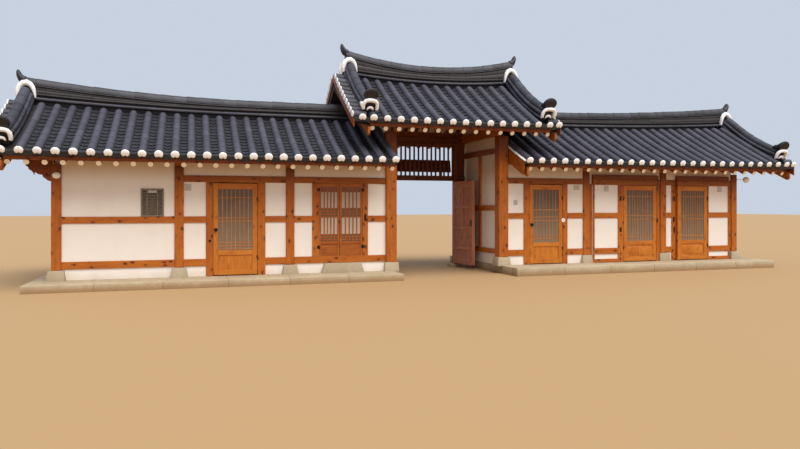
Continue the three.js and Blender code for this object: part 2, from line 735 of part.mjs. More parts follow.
function bargeBoard(roof, x0) {
  const gap = 1.5;
  const end = -EAVE + 45;
  const deep = BARGE_DEEP;
  const topAt = (y) => rafterTop(roof, y) - gap;
  const left = [[end, topAt(end)], [end, topAt(end) - deep * 0.55], [end + 90, topAt(end + 90) - deep]];
  const right = left.map(([y, z]) => [DEPTH - y, z]).reverse();
  const points = [...left, [MIDDLE_Y, topAt(MIDDLE_Y) - deep], ...right, [MIDDLE_Y, topAt(MIDDLE_Y)]];
  return slabAcross(points, x0, x0 + BARGE_THICK);
}

// The short board that closes the right wing's verge before it meets the wall beside the gate
function innerBarge(roof, x0) {
  const topAt = (y) => rafterTop(roof, y) - 1.5;
  const [end, wall] = [-EAVE + 45, -PLATE / 2 + 5];
  const foot = [[end, topAt(end) - BARGE_DEEP * 0.55], [end + 90, topAt(end + 90) - BARGE_DEEP]];
  const points = [[end, topAt(end)], ...foot, [wall, topAt(wall) - BARGE_DEEP], [wall, topAt(wall)]];
  const mirrored = points.map(([y, z]) => [DEPTH - y, z]);
  return [points, mirrored].map((outline) => slabAcross(outline, x0, x0 + BARGE_THICK));
}

const leftRoofEnd = leftRoof.x0 + LEFT_BARGE_IN[0];
const rightRoofEnd = rightRoof.x1 - BARGE_IN - BARGE_THICK;
const gateEnds = [gateRoof.x0 + LEFT_BARGE_IN[1], gateRoof.x1 - BARGE_IN - BARGE_THICK];

const WING_BEAMS = [POST_TOP, BEAM_TOP];
const GATE_BEAMS = [GATE_TOP, GATE_TOP + 210];

add(
  'left_roof_frame',
  fuse(
    roofFrame(
      leftRoof, leftRoofEnd + 10, POST_X[3] - gateHalf - GAP, [POST_X[1], POST_X[2]],
      WING_BEAMS.map((z) => z + LEFT_BASE), 90, 70
    ),
    bargeBoard(leftRoof, leftRoofEnd)
  ),
  PINE
);
add(
  'right_roof_frame',
  fuse(
    roofFrame(
      rightRoof, GATE_RIGHT + gateHalf + GAP, rightRoofEnd + 40, [POST_X[5], POST_X[6]],
      WING_BEAMS.map((z) => z + RIGHT_BASE), 90, 70
    ),
    bargeBoard(rightRoof, rightRoofEnd),
    innerBarge(rightRoof, rightRoof.x0 + INNER_BARGE)
  ),
  PINE
);
const gateBeamX = [POST_X[3] + WALL / 2 + 60 + GAP, GATE_RIGHT - WALL / 2 - 60 - GAP];
add(
  'gate_roof_frame',
  fuse(
    roofFrame(gateRoof, gateEnds[0] + 10, gateEnds[1] + 40, gateBeamX, GATE_BEAMS, 60, gateHalf - 20),
    bargeBoard(gateRoof, gateEnds[0]),
    bargeBoard(gateRoof, gateEnds[1])
  ),
  PINE
);

const rafterSpans = [
  ['left', leftRoof, leftRoofEnd + 117, POST_X[3] - gateHalf - 65],
  ['right', rightRoof, rightRoof.x0 + 213, rightRoof.x1 - 275],
  ['gate', gateRoof, gateEnds[0] + 121, gateRoof.x1 - 277],
];
for (const [name, roof, x0, x1] of rafterSpans) {
  add(`${name}_rafters_front`, rafterRow(roof, x0, x1, -1), PINE);
  add(`${name}_rafters_rear`, rafterRow(roof, x0, x1, 1), PINE);
}

// Tile beds of earth and mortar, with the hollow tiles' form left smooth
const postClear = (x) => [0, DEPTH].map((y) =>
  block(x - gateHalf - 1, x + gateHalf + 1, y - gateHalf - 1, y + gateHalf + 1, 0, GATE_TOP)
);
add('left_roof', deckOf(leftRoof, postClear(POST_X[3])), TILE);
add('right_roof', deckOf(rightRoof, []), TILE);
add('gate_roof', deckOf(gateRoof, []), TILE);

// Ridges: a main ridge that thickens and climbs to a horn, and descending ridges at the verges
const VERGE_RIDGE_HALF = 125;
const RIDGE_SINK = 15;

function mainRidgeRing(roof, x, extra, cut) {
  const bed = bedHeight(roof, x, RUN);
  const foot = bed - RIDGE_SINK + cut;
  const top = bed + roof.thick[0] + extraAt(roof, x) + extra;
  const w = RIDGE_HALF - 4;
  const body = top - 90;
  const hip = foot + 0.35 * (body - foot);
  const profile = [
    [-w, foot], [w, foot], [w, hip], [w * 0.85, body],
    [w * 0.6, top - 25], [0, top], [-w * 0.6, top - 25], [-w * 0.85, body], [-w, hip],
  ];
  return profile.map(([y, z]) => [x, MIDDLE_Y + y, z]);
}

function mainRidge(roof) {
  const [leftVerge, rightVerge] = roof.verge;
  const inner = stationsOf(roof).slice(1, -1);
  const rings = inner.map((x) => mainRidgeRing(roof, x, 0, 0));
  const ends = [
    [leftVerge, roof.x0, 1, 'unshift', roof.ridgeEnd[0]],
    [rightVerge, roof.x1, -1, 'push', roof.ridgeEnd[1]],
  ];
  for (const [verge, edge, inward, put, end] of ends) {
    if (verge) {
      rings[put](mainRidgeRing(roof, edge + inward * (end + 60), 0, 0));
      rings[put](mainRidgeRing(roof, edge + inward * (end - 60), 35, 60));
      rings[put](mainRidgeRing(roof, edge + inward * (end - 130), 130, 330));
    } else {
      rings[put](mainRidgeRing(roof, edge, 0, 0));
    }
  }
  return loft(rings, [1, 2]);
}

function vergeRidge(roof, x, front) {
  const rings = [];
  const end = 95;
  const bedOver = (u) => Math.max(bedHeight(roof, x - VERGE_RIDGE_HALF, u), bedHeight(roof, x + VERGE_RIDGE_HALF, u));
  const steps = [end, end + 70, end + 140, end + 200];
  for (let k = 1; k <= 5; k += 1) {
    steps.push(end + 200 + ((RUN + 60 - end - 200) * k) / 5);
  }
  steps.forEach((u, k) => {
    const share = u / RUN;
    const height = 415 - 25 * share - 80 * Math.sin(Math.PI * Math.min(share, 1)) + [90, 195, 140, 0][Math.min(k, 3)];
    const foot = bedOver(Math.min(u, RUN)) - 25;
    const w = VERGE_RIDGE_HALF;
    const y = front ? u - EAVE : DEPTH + EAVE - u;
    const top = bedOver(Math.min(u, RUN)) + height;
    const profile = [[-w, foot], [w, foot], [w * 0.95, top - 70], [w * 0.5, top], [-w * 0.5, top], [-w * 0.95, top - 70]];
    rings.push(profile.map(([dx, z]) => [x + dx, y, z]));
  });
  return loft(rings, [0, 2]);
}

function ridges(roof) {
  const parts = [mainRidge(roof)];
  if (roof.verge[0]) {
    const x = roof.x0 + roof.vergeIn[0];
    parts.push(vergeRidge(roof, x, true), vergeRidge(roof, x, false));
  }
  if (roof.verge[1]) {
    const x = roof.x1 - roof.vergeIn[1];
    parts.push(vergeRidge(roof, x, true), vergeRidge(roof, x, false));
  }
  return fuse(parts).subtract(deck(roof).translate([0, 0, GAP]));
}
add('left_ridge', ridges(leftRoof), TILE);
add('right_ridge', ridges(rightRoof), TILE);
add('gate_ridge', ridges(gateRoof), TILE);

// Side walls of the gate run up to the rafters and close the wings' inner ends
function crossWall(x, roof, base, y0, y1, foot, holes) {
  const tilt = Math.hypot(1, roof.rafterSlope);
  const limit = (y) => rafterAxis(roof, y) - RAFTER_RADIUS * tilt - 1;
  const points = [[y0, foot], [y1, foot], [y1, limit(y0)], [MIDDLE_Y, limit(MIDDLE_Y)], [y0, limit(y0)]];
  let slab = slabAcross(points, x - WALL / 2, x + WALL / 2);
  holes.forEach((hole) => {
    slab = slab.subtract(hole);
  });
  return roundStones(slab);
}

function purlinNotch(roof) {
  const top = ridgePurlinTop(roof);
  const reach = RIDGE_PURLIN_HALF + GAP;
  const foot = top - RIDGE_PURLIN_DEEP - GAP;
  return block(-2000, LAST_POST + 2000, MIDDLE_Y - reach, MIDDLE_Y + reach, foot, top + 400);
}

add(
  'gate_side_wall_left',
  crossWall(POST_X[3], gateRoof, 0, gateHalf + GAP, DEPTH - gateHalf - GAP, LEFT_BASE + GAP, [purlinNotch(gateRoof)]),
  PLASTER
);
add(
  'gate_side_wall_right',
  crossWall(GATE_RIGHT, gateRoof, 0, gateHalf + GAP, DEPTH - gateHalf - GAP, RIGHT_BASE + GAP, [purlinNotch(gateRoof)]),
  PLASTER
);
add(
  'left_gable_wall',
  crossWall(0, leftRoof, LEFT_BASE, half + GAP, DEPTH - half - GAP, LEFT_BASE + GAP, [purlinNotch(leftRoof)]),
  PLASTER
);
add(
  'right_gable_wall',
  crossWall(LAST_POST, rightRoof, RIGHT_BASE, half + GAP, DEPTH - half - GAP, RIGHT_BASE + GAP, [
    purlinNotch(rightRoof),
  ]),
  PLASTER
);

// Gable timbers planted on the outer face: rails, tie beam, middle post and king strut
function gableFrame(x, base, outward, inset, roof) {
  const inner = x + outward * (WALL / 2 + GAP);
  const outer = x + outward * RAIL_OUT;
  const [x0, x1] = [Math.min(inner, outer), Math.max(inner, outer)];
  const y0 = inset + GAP;
  const y1 = DEPTH - inset - GAP;
  const strutTop = ridgePurlinTop(roof) - RIDGE_PURLIN_DEEP - GAP;
  return fuse(
    [SILL, MID_RAIL, LINTEL].map(([z0, z1]) => block(x0, x1, y0, y1, base + z0, base + z1)),
    block(x0, x1, y0, y1, base + POST_TOP + 40, base + BEAM_TOP),
    block(x0, x1, MIDDLE_Y - 80, MIDDLE_Y + 80, base + SILL[0] + 20, strutTop)
  );
}
add('left_gable_frame', gableFrame(0, LEFT_BASE, -1, half, leftRoof), PINE);
add('right_gable_frame', gableFrame(LAST_POST, RIGHT_BASE, 1, half, rightRoof), PINE);

// Street side: posts with rails planted on a plain plaster wall
function rearFrame(posts, x0, x1, base, widths) {
  return fuse(
    posts.map((x, k) => post(x, DEPTH, base, widths[k], POST_TOP)),
    [SILL, MID_RAIL, LINTEL].map((z) => rail(x0, x1, base, z, 1))
  );
}
add(
  'left_rear_frame',
  fuse(
    rearFrame(POST_X.slice(0, 3), clearPost, POST_X[3] - gateHalf - GAP, LEFT_BASE, [POST, POST, POST]),
    cornerBracket(-POST / 2 + 5, DEPTH, LEFT_BASE, -1)
  ),
  PINE
);
add(
  'right_rear_frame',
  rearFrame(POST_X.slice(5), GATE_RIGHT + gateHalf + GAP, LAST_POST - clearPost, RIGHT_BASE, [POST, POST, POST]),
  PINE
);

// The plaster of the rear wall also covers its posts on the room side
const REAR_SKIN = 35;

function rearWall(x0, x1, base, posts) {
  const inner = DEPTH - half - REAR_SKIN;
  let slab = block(x0 + GAP, x1 - GAP, inner, DEPTH + WALL / 2, base + GAP, base + WALL_TOP);
  for (const x of posts) {
    slab = slab.subtract(block(x - half - GAP, x + half + GAP, DEPTH - half - GAP, DEPTH + WALL, base, base + 3000));
    slab = slab.subtract(block(x - half, x + half, inner - 10, DEPTH, base + POST_TOP, base + 3000));
  }
  return roundStones(slab);
}
add('left_rear_wall', rearWall(half, POST_X[3] - gateHalf, LEFT_BASE, POST_X.slice(1, 3)), PLASTER);
add('right_rear_wall', rearWall(GATE_RIGHT + gateHalf, LAST_POST - half, RIGHT_BASE, POST_X.slice(5, 7)), PLASTER);

// Gate door frame: jambs, head beam and the open transom of upright bars
const FRAME_Y = [2112, 2230];
const HEAD = [2410, 2550];
const TRANSOM_TOP = [3350, 3468];
const JAMB = 150;
const OPENING_HALF = 1035;
const TRANSOM_BOARD = [3458, 3630];
const TRANSOM_BAR = 44;
const TRANSOM_SPACING = 127;
const PIVOT_Y = 2060;
const PIVOT_OUT = OPENING_HALF + 10;
const PIN_RADIUS = 17;
const SOCKET_RADIUS = 20;
const LEAF_Z = [105, 2385];

function gateDoorFrame() {
  const [y0, y1] = FRAME_Y;
  const x0 = POST_X[3] + 98 + GAP;
  const x1 = GATE_RIGHT - 98 - GAP;
  const parts = [
    block(x0, x1, y0, y1, HEAD[0], HEAD[1]),
    block(x0, x1, y0, y1, TRANSOM_TOP[0], TRANSOM_TOP[1]),
    block(gateBeamX[0] + 63, gateBeamX[1] - 63, y0 + 25, y1 - 25, TRANSOM_BOARD[0], TRANSOM_BOARD[1]),
  ];
  for (const side of [-1, 1]) {
    const inner = GATE_MIDDLE + side * OPENING_HALF;
    const outer = inner + side * JAMB;
    const wallFace = side < 0 ? x0 : x1;
    parts.push(block(Math.min(inner, outer), Math.max(inner, outer), y0, y1, FOOT_TOP + GAP, TRANSOM_TOP[1]));
    const [a, b] = [Math.min(outer - side * 5, wallFace), Math.max(outer - side * 5, wallFace)];
    parts.push(block(a, b, y0 + 40, y1 - 40, FOOT_TOP + 60, TRANSOM_TOP[1]));
    const pivotX = GATE_MIDDLE + side * PIVOT_OUT;
    const bracket = block(pivotX - 70, pivotX + 70, y0 - 110, y0 + 10, HEAD[0] + 5, HEAD[1] - 20);
    parts.push(bracket.subtract(bar([pivotX, PIVOT_Y, HEAD[0] - 20], [pivotX, PIVOT_Y, HEAD[1]], SOCKET_RADIUS, 16)));
  }
  const count = Math.floor((2 * OPENING_HALF) / TRANSOM_SPACING);
  for (let k = 0; k <= count; k += 1) {
    const x = GATE_MIDDLE + (k - count / 2) * TRANSOM_SPACING;
    const w = TRANSOM_BAR / 2;
    parts.push(block(x - w, x + w, y0 + 35, y0 + 75, HEAD[1] - 10, TRANSOM_TOP[0] + 10));
  }
  return fuse(parts);
}

// Foot stones with the sockets of the leaves' pivots
const FOOT_TOP = 85;

function footStone(side) {
  const x = GATE_MIDDLE + side * (OPENING_HALF + 30);
  const ring = (halfX, y0, y1, z) => [[x - halfX, y0, z], [x + halfX, y0, z], [x + halfX, y1, z], [x - halfX, y1, z]];
  const stone = loft([ring(180, 1950, 2265, 0), ring(165, 1965, 2250, FOOT_TOP)], [0, 1]);
  const pivotX = GATE_MIDDLE + side * PIVOT_OUT;
  return stone.subtract(bar([pivotX, PIVOT_Y, FOOT_TOP - 40], [pivotX, PIVOT_Y, FOOT_TOP + 10], SOCKET_RADIUS, 16));
}
add('gate_stone_left', footStone(-1), GRANITE);
add('gate_stone_right', footStone(1), GRANITE);
add('gate_door_frame', gateDoorFrame(), DARK_PINE);

// Gate leaves stand open to the courtyard, a little past square; each turns on pins at its heel
const LEAF_THICK = 60;
const LEAF_HEEL = 30;
const LEAF_REACH = PIVOT_OUT - 5;
const OPEN_ANGLE = 97;

function gateLeaf(name, side) {
  const t = LEAF_THICK / 2;
  const from = side < 0 ? -LEAF_HEEL : -LEAF_REACH;
  const to = side < 0 ? LEAF_REACH : LEAF_HEEL;
  const board = block(from, to, -t, t, LEAF_Z[0], LEAF_Z[1]);
  const rails = [200, 900, 1600, 2200].map((z) =>
    block(from + 40, to - 40, t - 5, t + 18, LEAF_Z[0] + z - 80, LEAF_Z[0] + z)
  );
  const pins = [
    bar([0, 0, LEAF_Z[0] + 5], [0, 0, FOOT_TOP - 40 + GAP], PIN_RADIUS, 12),
    bar([0, 0, LEAF_Z[1] - 5], [0, 0, HEAD[1] - 50], PIN_RADIUS, 12),
  ];
  const mesh = add(name, fuse(board, rails, pins), DARK_PINE, [GATE_MIDDLE + side * PIVOT_OUT, PIVOT_Y, 0]);
  mesh.rotation.z = THREE.MathUtils.degToRad(side * OPEN_ANGLE);
}
gateLeaf('gate_leaf_left', -1);
gateLeaf('gate_leaf_right', 1);

// A bare board leans out over the street from two cleats on the head beam
function gateBoard() {
  const points = [[0, 0], [40, 0], [105, 340], [65, 340]];
  const y = FRAME_Y[1] + GAP;
  const z = HEAD[1] + 110;
  const board = slabAcross(points.map(([u, v]) => [y + u, z + v]), GATE_MIDDLE - 1000, GATE_MIDDLE + 1000);
  const cleats = [-700, 700].map((x) =>
    block(GATE_MIDDLE + x - 30, GATE_MIDDLE + x + 30, y, y + 40, HEAD[0] + 40, z + 20)
  );
  return fuse(board, cleats);
}
add('gate_board', gateBoard(), DARK_PINE);

export default building;
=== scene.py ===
import math
import random

import bmesh
import bpy
from mathutils import Matrix, Vector


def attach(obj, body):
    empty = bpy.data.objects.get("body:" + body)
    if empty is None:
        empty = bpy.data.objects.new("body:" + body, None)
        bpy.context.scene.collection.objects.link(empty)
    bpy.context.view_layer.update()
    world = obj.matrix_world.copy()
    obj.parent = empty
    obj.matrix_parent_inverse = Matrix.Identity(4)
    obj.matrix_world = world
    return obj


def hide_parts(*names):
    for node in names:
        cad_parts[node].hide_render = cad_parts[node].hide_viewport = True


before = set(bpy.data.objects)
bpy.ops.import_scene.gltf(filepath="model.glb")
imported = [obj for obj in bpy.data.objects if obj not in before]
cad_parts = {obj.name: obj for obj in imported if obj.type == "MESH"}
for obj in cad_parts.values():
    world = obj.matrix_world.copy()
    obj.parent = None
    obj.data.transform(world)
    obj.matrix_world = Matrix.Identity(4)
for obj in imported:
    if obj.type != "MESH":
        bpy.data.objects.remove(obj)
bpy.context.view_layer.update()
random.seed(2206)

# Granite stonework
# The plinths are kerbs and floor slabs of pale sawn granite, laid with open joints.
# Tapered base stones stand on them under every post, and a long one under the window.

# Pieces are measured from the left corner post, along the front wall, above the ground
SITE = Vector((-8.775, -1.25, 0.0))
LEFT_FLOOR = 0.150
RIGHT_FLOOR = 0.200
POSTS = (0.0, 2.4, 4.8, 7.2, 10.15, 12.58, 15.01, 17.44)
DEPTH = 2.5
GATE_LEFT, GATE_RIGHT = POSTS[3], POSTS[4]
GATE_MIDDLE = (GATE_LEFT + GATE_RIGHT) / 2


def srgb(code):
    """A hex colour as the linear values that Blender's sockets hold."""
    parts = [int(code[i:i + 2], 16) / 255 for i in (0, 2, 4)]
    linear = [p / 12.92 if p <= 0.04045 else ((p + 0.055) / 1.055) ** 2.4 for p in parts]
    return (*linear, 1.0)


def feed(node, inputs):
    """Sets a node's inputs: a node or a socket is linked, a hex colour is made linear."""
    for key, value in inputs.items():
        if isinstance(value, bpy.types.Node):
            value = value.outputs[0]
        if isinstance(value, bpy.types.NodeSocket):
            node.id_data.links.new(value, node.inputs[key])
        else:
            node.inputs[key].default_value = srgb(value) if isinstance(value, str) else value


def add(shader, kind, inputs=None, **settings):
    """Adds a node to a shader's material, with its settings and links."""
    node = shader.id_data.nodes.new("ShaderNode" + kind)
    for key, value in settings.items():
        setattr(node, key, value)
    feed(node, inputs or {})
    return node


def new_finish(name, colour, roughness, ior=1.5, metallic=0.0):
    """A material with its shader, and the shader's constants set on its own sockets."""
    finish = bpy.data.materials.new(name)
    finish.use_nodes = True
    shader = finish.node_tree.nodes["Principled BSDF"]
    feed(shader, {"Base Color": colour, "Roughness": roughness, "IOR": ior, "Metallic": metallic})
    return finish, shader


def stain(shader, under, colour, pattern, low, high, most=1.0, least=0.0):
    """Lays a colour over another: its share goes from least to most as the pattern goes from low to high."""
    share = add(shader, "MapRange", {
        "Value": pattern, "From Min": low, "From Max": high, "To Min": least, "To Max": most})
    return add(shader, "MixRGB", {"Fac": share, "Color1": under, "Color2": colour})


def sawn_granite():
    """Sawn pale granite: even light grey-buff with dark mica specks, and earth splashed on its foot."""
    finish, shader = new_finish("sawn_granite", "CFC2AC", 0.8, ior=1.54)
    place = add(shader, "TexCoord").outputs["Object"]
    # Grains are 3 to 6 mm in the real stone, drawn at about 12 mm so that they show
    grain = add(shader, "TexNoise", {"Vector": place, "Scale": 85.0, "Detail": 3.0, "Roughness": 0.7})
    cloud = add(shader, "TexNoise", {"Vector": place, "Scale": 2.6, "Detail": 4.0})
    tone = add(shader, "Attribute", attribute_name="shade").outputs["Fac"]
    blocks = add(shader, "MixRGB", {"Fac": tone, "Color1": "BCAA8C", "Color2": "D2C1A4"})
    clouded = add(shader, "MixRGB", {"Fac": cloud, "Color1": blocks, "Color2": "A08F72"})
    speckled = stain(shader, clouded, "80776A", grain, 0.54, 0.66)
    ragged = add(shader, "TexNoise", {"Vector": place, "Scale": 9.0, "Detail": 5.0})
    height = add(shader, "SeparateXYZ", {"Vector": place}).outputs["Z"]
    level = add(shader, "Math", {0: ragged, 1: -0.14, 2: height}, operation="MULTIPLY_ADD")
    earthy = stain(shader, speckled, "9C7A50", level, -0.02, 0.10, most=0.0, least=0.75)
    relief = add(shader, "Bump", {"Height": grain, "Strength": 0.35, "Distance": 0.004})
    feed(shader, {"Base Color": earthy, "Normal": relief})
    return finish


granite = sawn_granite()


def finish_piece(name, bm, finishes, body="house", stands_for=(), crease=None):
    """Turns a bmesh into a piece that rides on a body; crease is the angle kept sharp, in degrees."""
    bmesh.ops.translate(bm, vec=SITE, verts=bm.verts)
    mesh = bpy.data.meshes.new(name)
    bm.to_mesh(mesh)
    bm.free()
    for finish in finishes:
        mesh.materials.append(finish)
    if crease:
        mesh.shade_smooth()
        mesh.set_sharp_from_angle(angle=math.radians(crease))
    piece = bpy.data.objects.new(name, mesh)
    bpy.context.scene.collection.objects.link(piece)
    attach(piece, body)
    if stands_for:
        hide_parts(*stands_for)


def start_piece():
    """An empty bmesh whose vertices keep a tone, and a place along the grain."""
    bm = bmesh.new()
    bm.verts.layers.float.new("shade")
    bm.verts.layers.float_vector.new("grain")
    return bm


def shade_all(bm, verts, low=0.0, high=1.0):
    """Gives one stone or tile its own tone."""
    layer = bm.verts.layers.float["shade"]
    tone = random.uniform(low, high)
    for vert in verts:
        vert[layer] = tone


def around(middle, half):
    return middle - half, middle + half


def lifted(floor, level):
    return floor + level[0], floor + level[1]


def paint(verts, finish):
    """Gives the faces at some vertices one of the piece's finishes."""
    for face in {f for v in verts for f in v.link_faces}:
        face.material_index = finish


def ease_block(bm, corners, z, bevel, segments=1):
    """A block with eased edges; corners holds its limits across at the foot and at the top."""
    verts = bmesh.ops.create_cube(bm, size=1.0)["verts"]
    for vert in verts:
        right, rear, upper = (c > 0 for c in vert.co)
        x, y = corners[upper]
        vert.co = x[right], y[rear], z[upper]
    made = bmesh.ops.bevel(
        bm, geom=list({e for v in verts for e in v.link_edges}), offset=bevel, segments=segments,
        affect="EDGES", profile=0.5, material=-1)
    return list({v for f in made["faces"] for v in f.verts})


def bevelled_box(bm, x, y, z, bevel, segments=1, finish=0):
    """A box between pairs of limits with its edges eased; gives its vertices."""
    verts = ease_block(bm, ((x, y), (x, y)), z, bevel, segments)
    paint(verts, finish)
    return verts


def runs(start, end, step):
    """Even lengths of about step that fill a distance."""
    count = max(1, round((end - start) / step))
    stops = [start + (end - start) * k / count for k in range(count + 1)]
    return list(zip(stops, stops[1:]))


def plinth(name, x, floor, posts, sizes, node):
    bm = start_piece()
    y = (-0.920, 3.420)
    kerb = 0.300
    joint = 0.004
    inset = 0.012
    core_x, core_y = ((a + inset, b - inset) for a, b in (x, y))
    shade_all(bm, bevelled_box(bm, core_x, core_y, (0.0, floor - inset), 0.002), 0.0, 0.1)
    for row in ((y[0], y[0] + kerb), (y[1] - kerb, y[1])):
        for a, b in runs(*x, 1.38):
            shade_all(bm, bevelled_box(bm, (a + joint, b - joint), row, (0.0, floor), 0.007, 2))
    for end in ((x[0], x[0] + kerb), (x[1] - kerb, x[1])):
        for a, b in runs(y[0] + kerb, y[1] - kerb, 1.3):
            shade_all(bm, bevelled_box(bm, end, (a + joint, b - joint), (0.0, floor), 0.007, 2))
    level = (floor - 0.05, floor - 0.001)
    for c, d in runs(y[0] + kerb, y[1] - kerb, 0.62):
        for a, b in runs(x[0] + kerb, x[1] - kerb, 0.95):
            flag = bevelled_box(bm, (a + joint, b - joint), (c + joint, d - joint), level, 0.004)
            shade_all(bm, flag, 0.2, 0.9)
    for post_x in posts:
        halves = sizes.get(post_x, (0.185, 0.150))
        for post_y in (0.0, DEPTH):
            corners = [(around(post_x, half), around(post_y, half)) for half in halves]
            shade_all(bm, ease_block(bm, corners, (floor - 0.015, floor + 0.210), 0.011, 2))
    finish_piece(name, bm, [granite], stands_for=[node], crease=40)


GATE_STONE = (0.178, 0.165)
plinth("left_plinth_stones", (-0.480, 7.260), LEFT_FLOOR, POSTS[:4], {GATE_LEFT: GATE_STONE}, "left_plinth")
plinth("right_plinth_stones", (10.110, 18.000), RIGHT_FLOOR, POSTS[4:], {
    GATE_RIGHT: GATE_STONE, POSTS[5]: (0.165, 0.130), POSTS[6]: (0.175, 0.166)}, "right_plinth")


def long_stone():
    """The long stone under the window, sloped at both ends, and rising to the sill."""
    bm = start_piece()
    y = (-0.175, -0.052)
    corners = (((5.504, 6.528), y), ((5.584, 6.448), y))
    shade_all(bm, ease_block(bm, corners, lifted(LEFT_FLOOR, (-0.015, 0.225)), 0.012, 2), 0.3, 0.6)
    finish_piece("window_base_stone", bm, [granite], crease=40)


long_stone()


def pivot_stone(side, node):
    """A foot stone of the gate, whose socket takes the pin of a leaf."""
    bm = start_piece()
    x = GATE_MIDDLE + side * 1.065
    corners = ((around(x, 0.180), (1.950, 2.265)), (around(x, 0.165), (1.965, 2.250)))
    shade_all(bm, ease_block(bm, corners, (0.0, 0.085), 0.009, 2))
    finish_piece(f"{node}_block", bm, [granite], stands_for=[node], crease=40)


pivot_stone(-1, "gate_stone_left")
pivot_stone(1, "gate_stone_right")

# Pine frames of the walls
# Posts, sills, rails, lintels and jambs are planed pine, oiled to a deep orange, full of knots.
# The posts stand on the base stones, and the rails are planted on the face of the plaster.


def oiled_pine(name, pale, deep, knot="3A1604", roughness=0.55, knots=0.70, painted_shade_heights=None):
    """Planed and oiled pine: long streaks of early and late wood, dark oval knots, a soft sheen.
    The grain attribute runs along each timber, in metres, and starts elsewhere in every timber.
    Wood between the painted shade heights, close under an eave, is darkened to a dark red-brown: painted shade
    of the eave."""
    finish, shader = new_finish(name, pale, roughness, ior=1.42)
    grain = add(shader, "Attribute", attribute_name="grain").outputs["Vector"]
    # Knots are 30 to 60 mm across, some 0.3 m apart
    spread = add(shader, "VectorMath", {0: grain, 1: (4.5, 8.0, 8.0)}, operation="MULTIPLY")
    wander = add(shader, "TexNoise", {"Vector": grain, "Scale": 14.0, "Detail": 2.0}).outputs["Color"]
    cells = add(shader, "VectorMath", {0: wander, 1: (0.35, 0.35, 0.35), 2: spread}, operation="MULTIPLY_ADD")
    off_knot = add(shader, "TexVoronoi", {"Vector": cells, "Scale": 1.0}).outputs["Distance"]
    halo = add(shader, "MapRange", {
        "Value": off_knot, "From Min": 0.12, "From Max": 0.62, "To Min": 1.0, "To Max": 0.0})
    # Growth rings show as streaks 10 to 25 mm apart that part round the knots
    parted = add(shader, "VectorMath", {0: halo, 1: (0.0, 0.030, 0.030), 2: grain}, operation="MULTIPLY_ADD")
    drawn = add(shader, "VectorMath", {0: parted, 1: (0.9, 42.0, 42.0)}, operation="MULTIPLY")
    streaks = add(shader, "TexNoise", {"Vector": drawn, "Scale": 1.0, "Detail": 4.0, "Roughness": 0.65})
    bands = add(shader, "MapRange", {"Value": streaks, "From Min": 0.34, "From Max": 0.68, "To Max": 0.55})
    broad_place = add(shader, "VectorMath", {0: grain, 1: (0.7, 3.2, 3.2)}, operation="MULTIPLY")
    broad = add(shader, "TexNoise", {"Vector": broad_place, "Scale": 1.0, "Detail": 3.0})
    broad_bands = add(shader, "MapRange", {"Value": broad, "From Min": 0.30, "From Max": 0.72, "To Max": 0.45})
    share = add(shader, "Math", {0: bands, 1: broad_bands}, operation="ADD")
    wood = add(shader, "MixRGB", {"Fac": share, "Color1": pale, "Color2": deep})
    ringed = stain(shader, wood, deep, off_knot, 0.12, 0.62, most=0.0, least=0.35)
    colour = stain(shader, ringed, knot, off_knot, 0.13, 0.25, most=0.0, least=knots)
    if painted_shade_heights:
        height = add(shader, "SeparateXYZ", {"Vector": add(shader, "TexCoord").outputs["Object"]}).outputs["Z"]
        # Painted shade: wood close under an eave is darkened to red-brown between the given heights
        colour = stain(shader, colour, "4E1B04", height, *painted_shade_heights, most=0.80)
    sheen = add(shader, "MapRange", {
        "Value": streaks, "From Min": 0.3, "From Max": 0.7,
        "To Min": roughness - 0.06, "To Max": roughness + 0.12})
    relief = add(shader, "Bump", {"Height": streaks, "Strength": 0.25, "Distance": 0.003})
    feed(shader, {"Base Color": colour, "Roughness": sheen, "Normal": relief})
    return finish


pine = oiled_pine("oiled_pine", "C9741A", "964406", "3A1505", knots=0.88, painted_shade_heights=(2.05, 2.50))
# The gate's pine is the same, with its band of painted shade set higher, under the gate roof
gate_pine = oiled_pine("oiled_gate_pine", "C9741A", "964406", "3A1505", knots=0.88, painted_shade_heights=(2.60, 3.25))


def lay_grain(bm, verts, along):
    """Writes each vertex's place along and across its own timber, from a chance start."""
    layer = bm.verts.layers.float_vector["grain"]
    along = Vector(along).normalized()
    side = along.orthogonal().normalized()
    other = along.cross(side)
    start = Vector([random.uniform(-40, 40) for _ in range(3)])
    for vert in verts:
        vert[layer] = Vector((vert.co.dot(along), vert.co.dot(side), vert.co.dot(other))) + start


def timber(bm, x, y, z, along=None, ease=0.006, finish=0):
    """A squared timber between pairs of limits; its grain runs along its longest side."""
    verts = bevelled_box(bm, x, y, z, ease, finish=finish)
    lengths = [b - a for a, b in (x, y, z)]
    axis = "xyz".index(along) if along else lengths.index(max(lengths))
    lay_grain(bm, verts, Matrix.Identity(3)[axis])
    return verts


STONE_TOP = 0.210
SILL = (0.230, 0.385)
MID_RAIL = (1.180, 1.320)
LINTEL = (2.070, 2.215)
POST_TOP = 2.400
POST_HALF = 0.095
WALL_HALF = 0.050
RAIL_FACE = -0.078
# Rails are let 4 mm into the posts and jambs
LET_IN = 0.004
INSIDE = POST_HALF - LET_IN
AT_GATE = 0.126


def post(bm, x, y, floor):
    timber(bm, around(x, POST_HALF), around(y, POST_HALF), (floor + STONE_TOP, floor + POST_TOP), ease=0.010)


def rail(bm, x, floor, level, rear=False):
    y = (DEPTH + WALL_HALF, DEPTH - RAIL_FACE) if rear else (RAIL_FACE, -WALL_HALF)
    timber(bm, x, y, lifted(floor, level))


def jamb(bm, x, floor, foot=0.001):
    timber(bm, x, (RAIL_FACE - 0.001, 0.049), (floor + foot, floor + LINTEL[0] + 0.001), along="z")


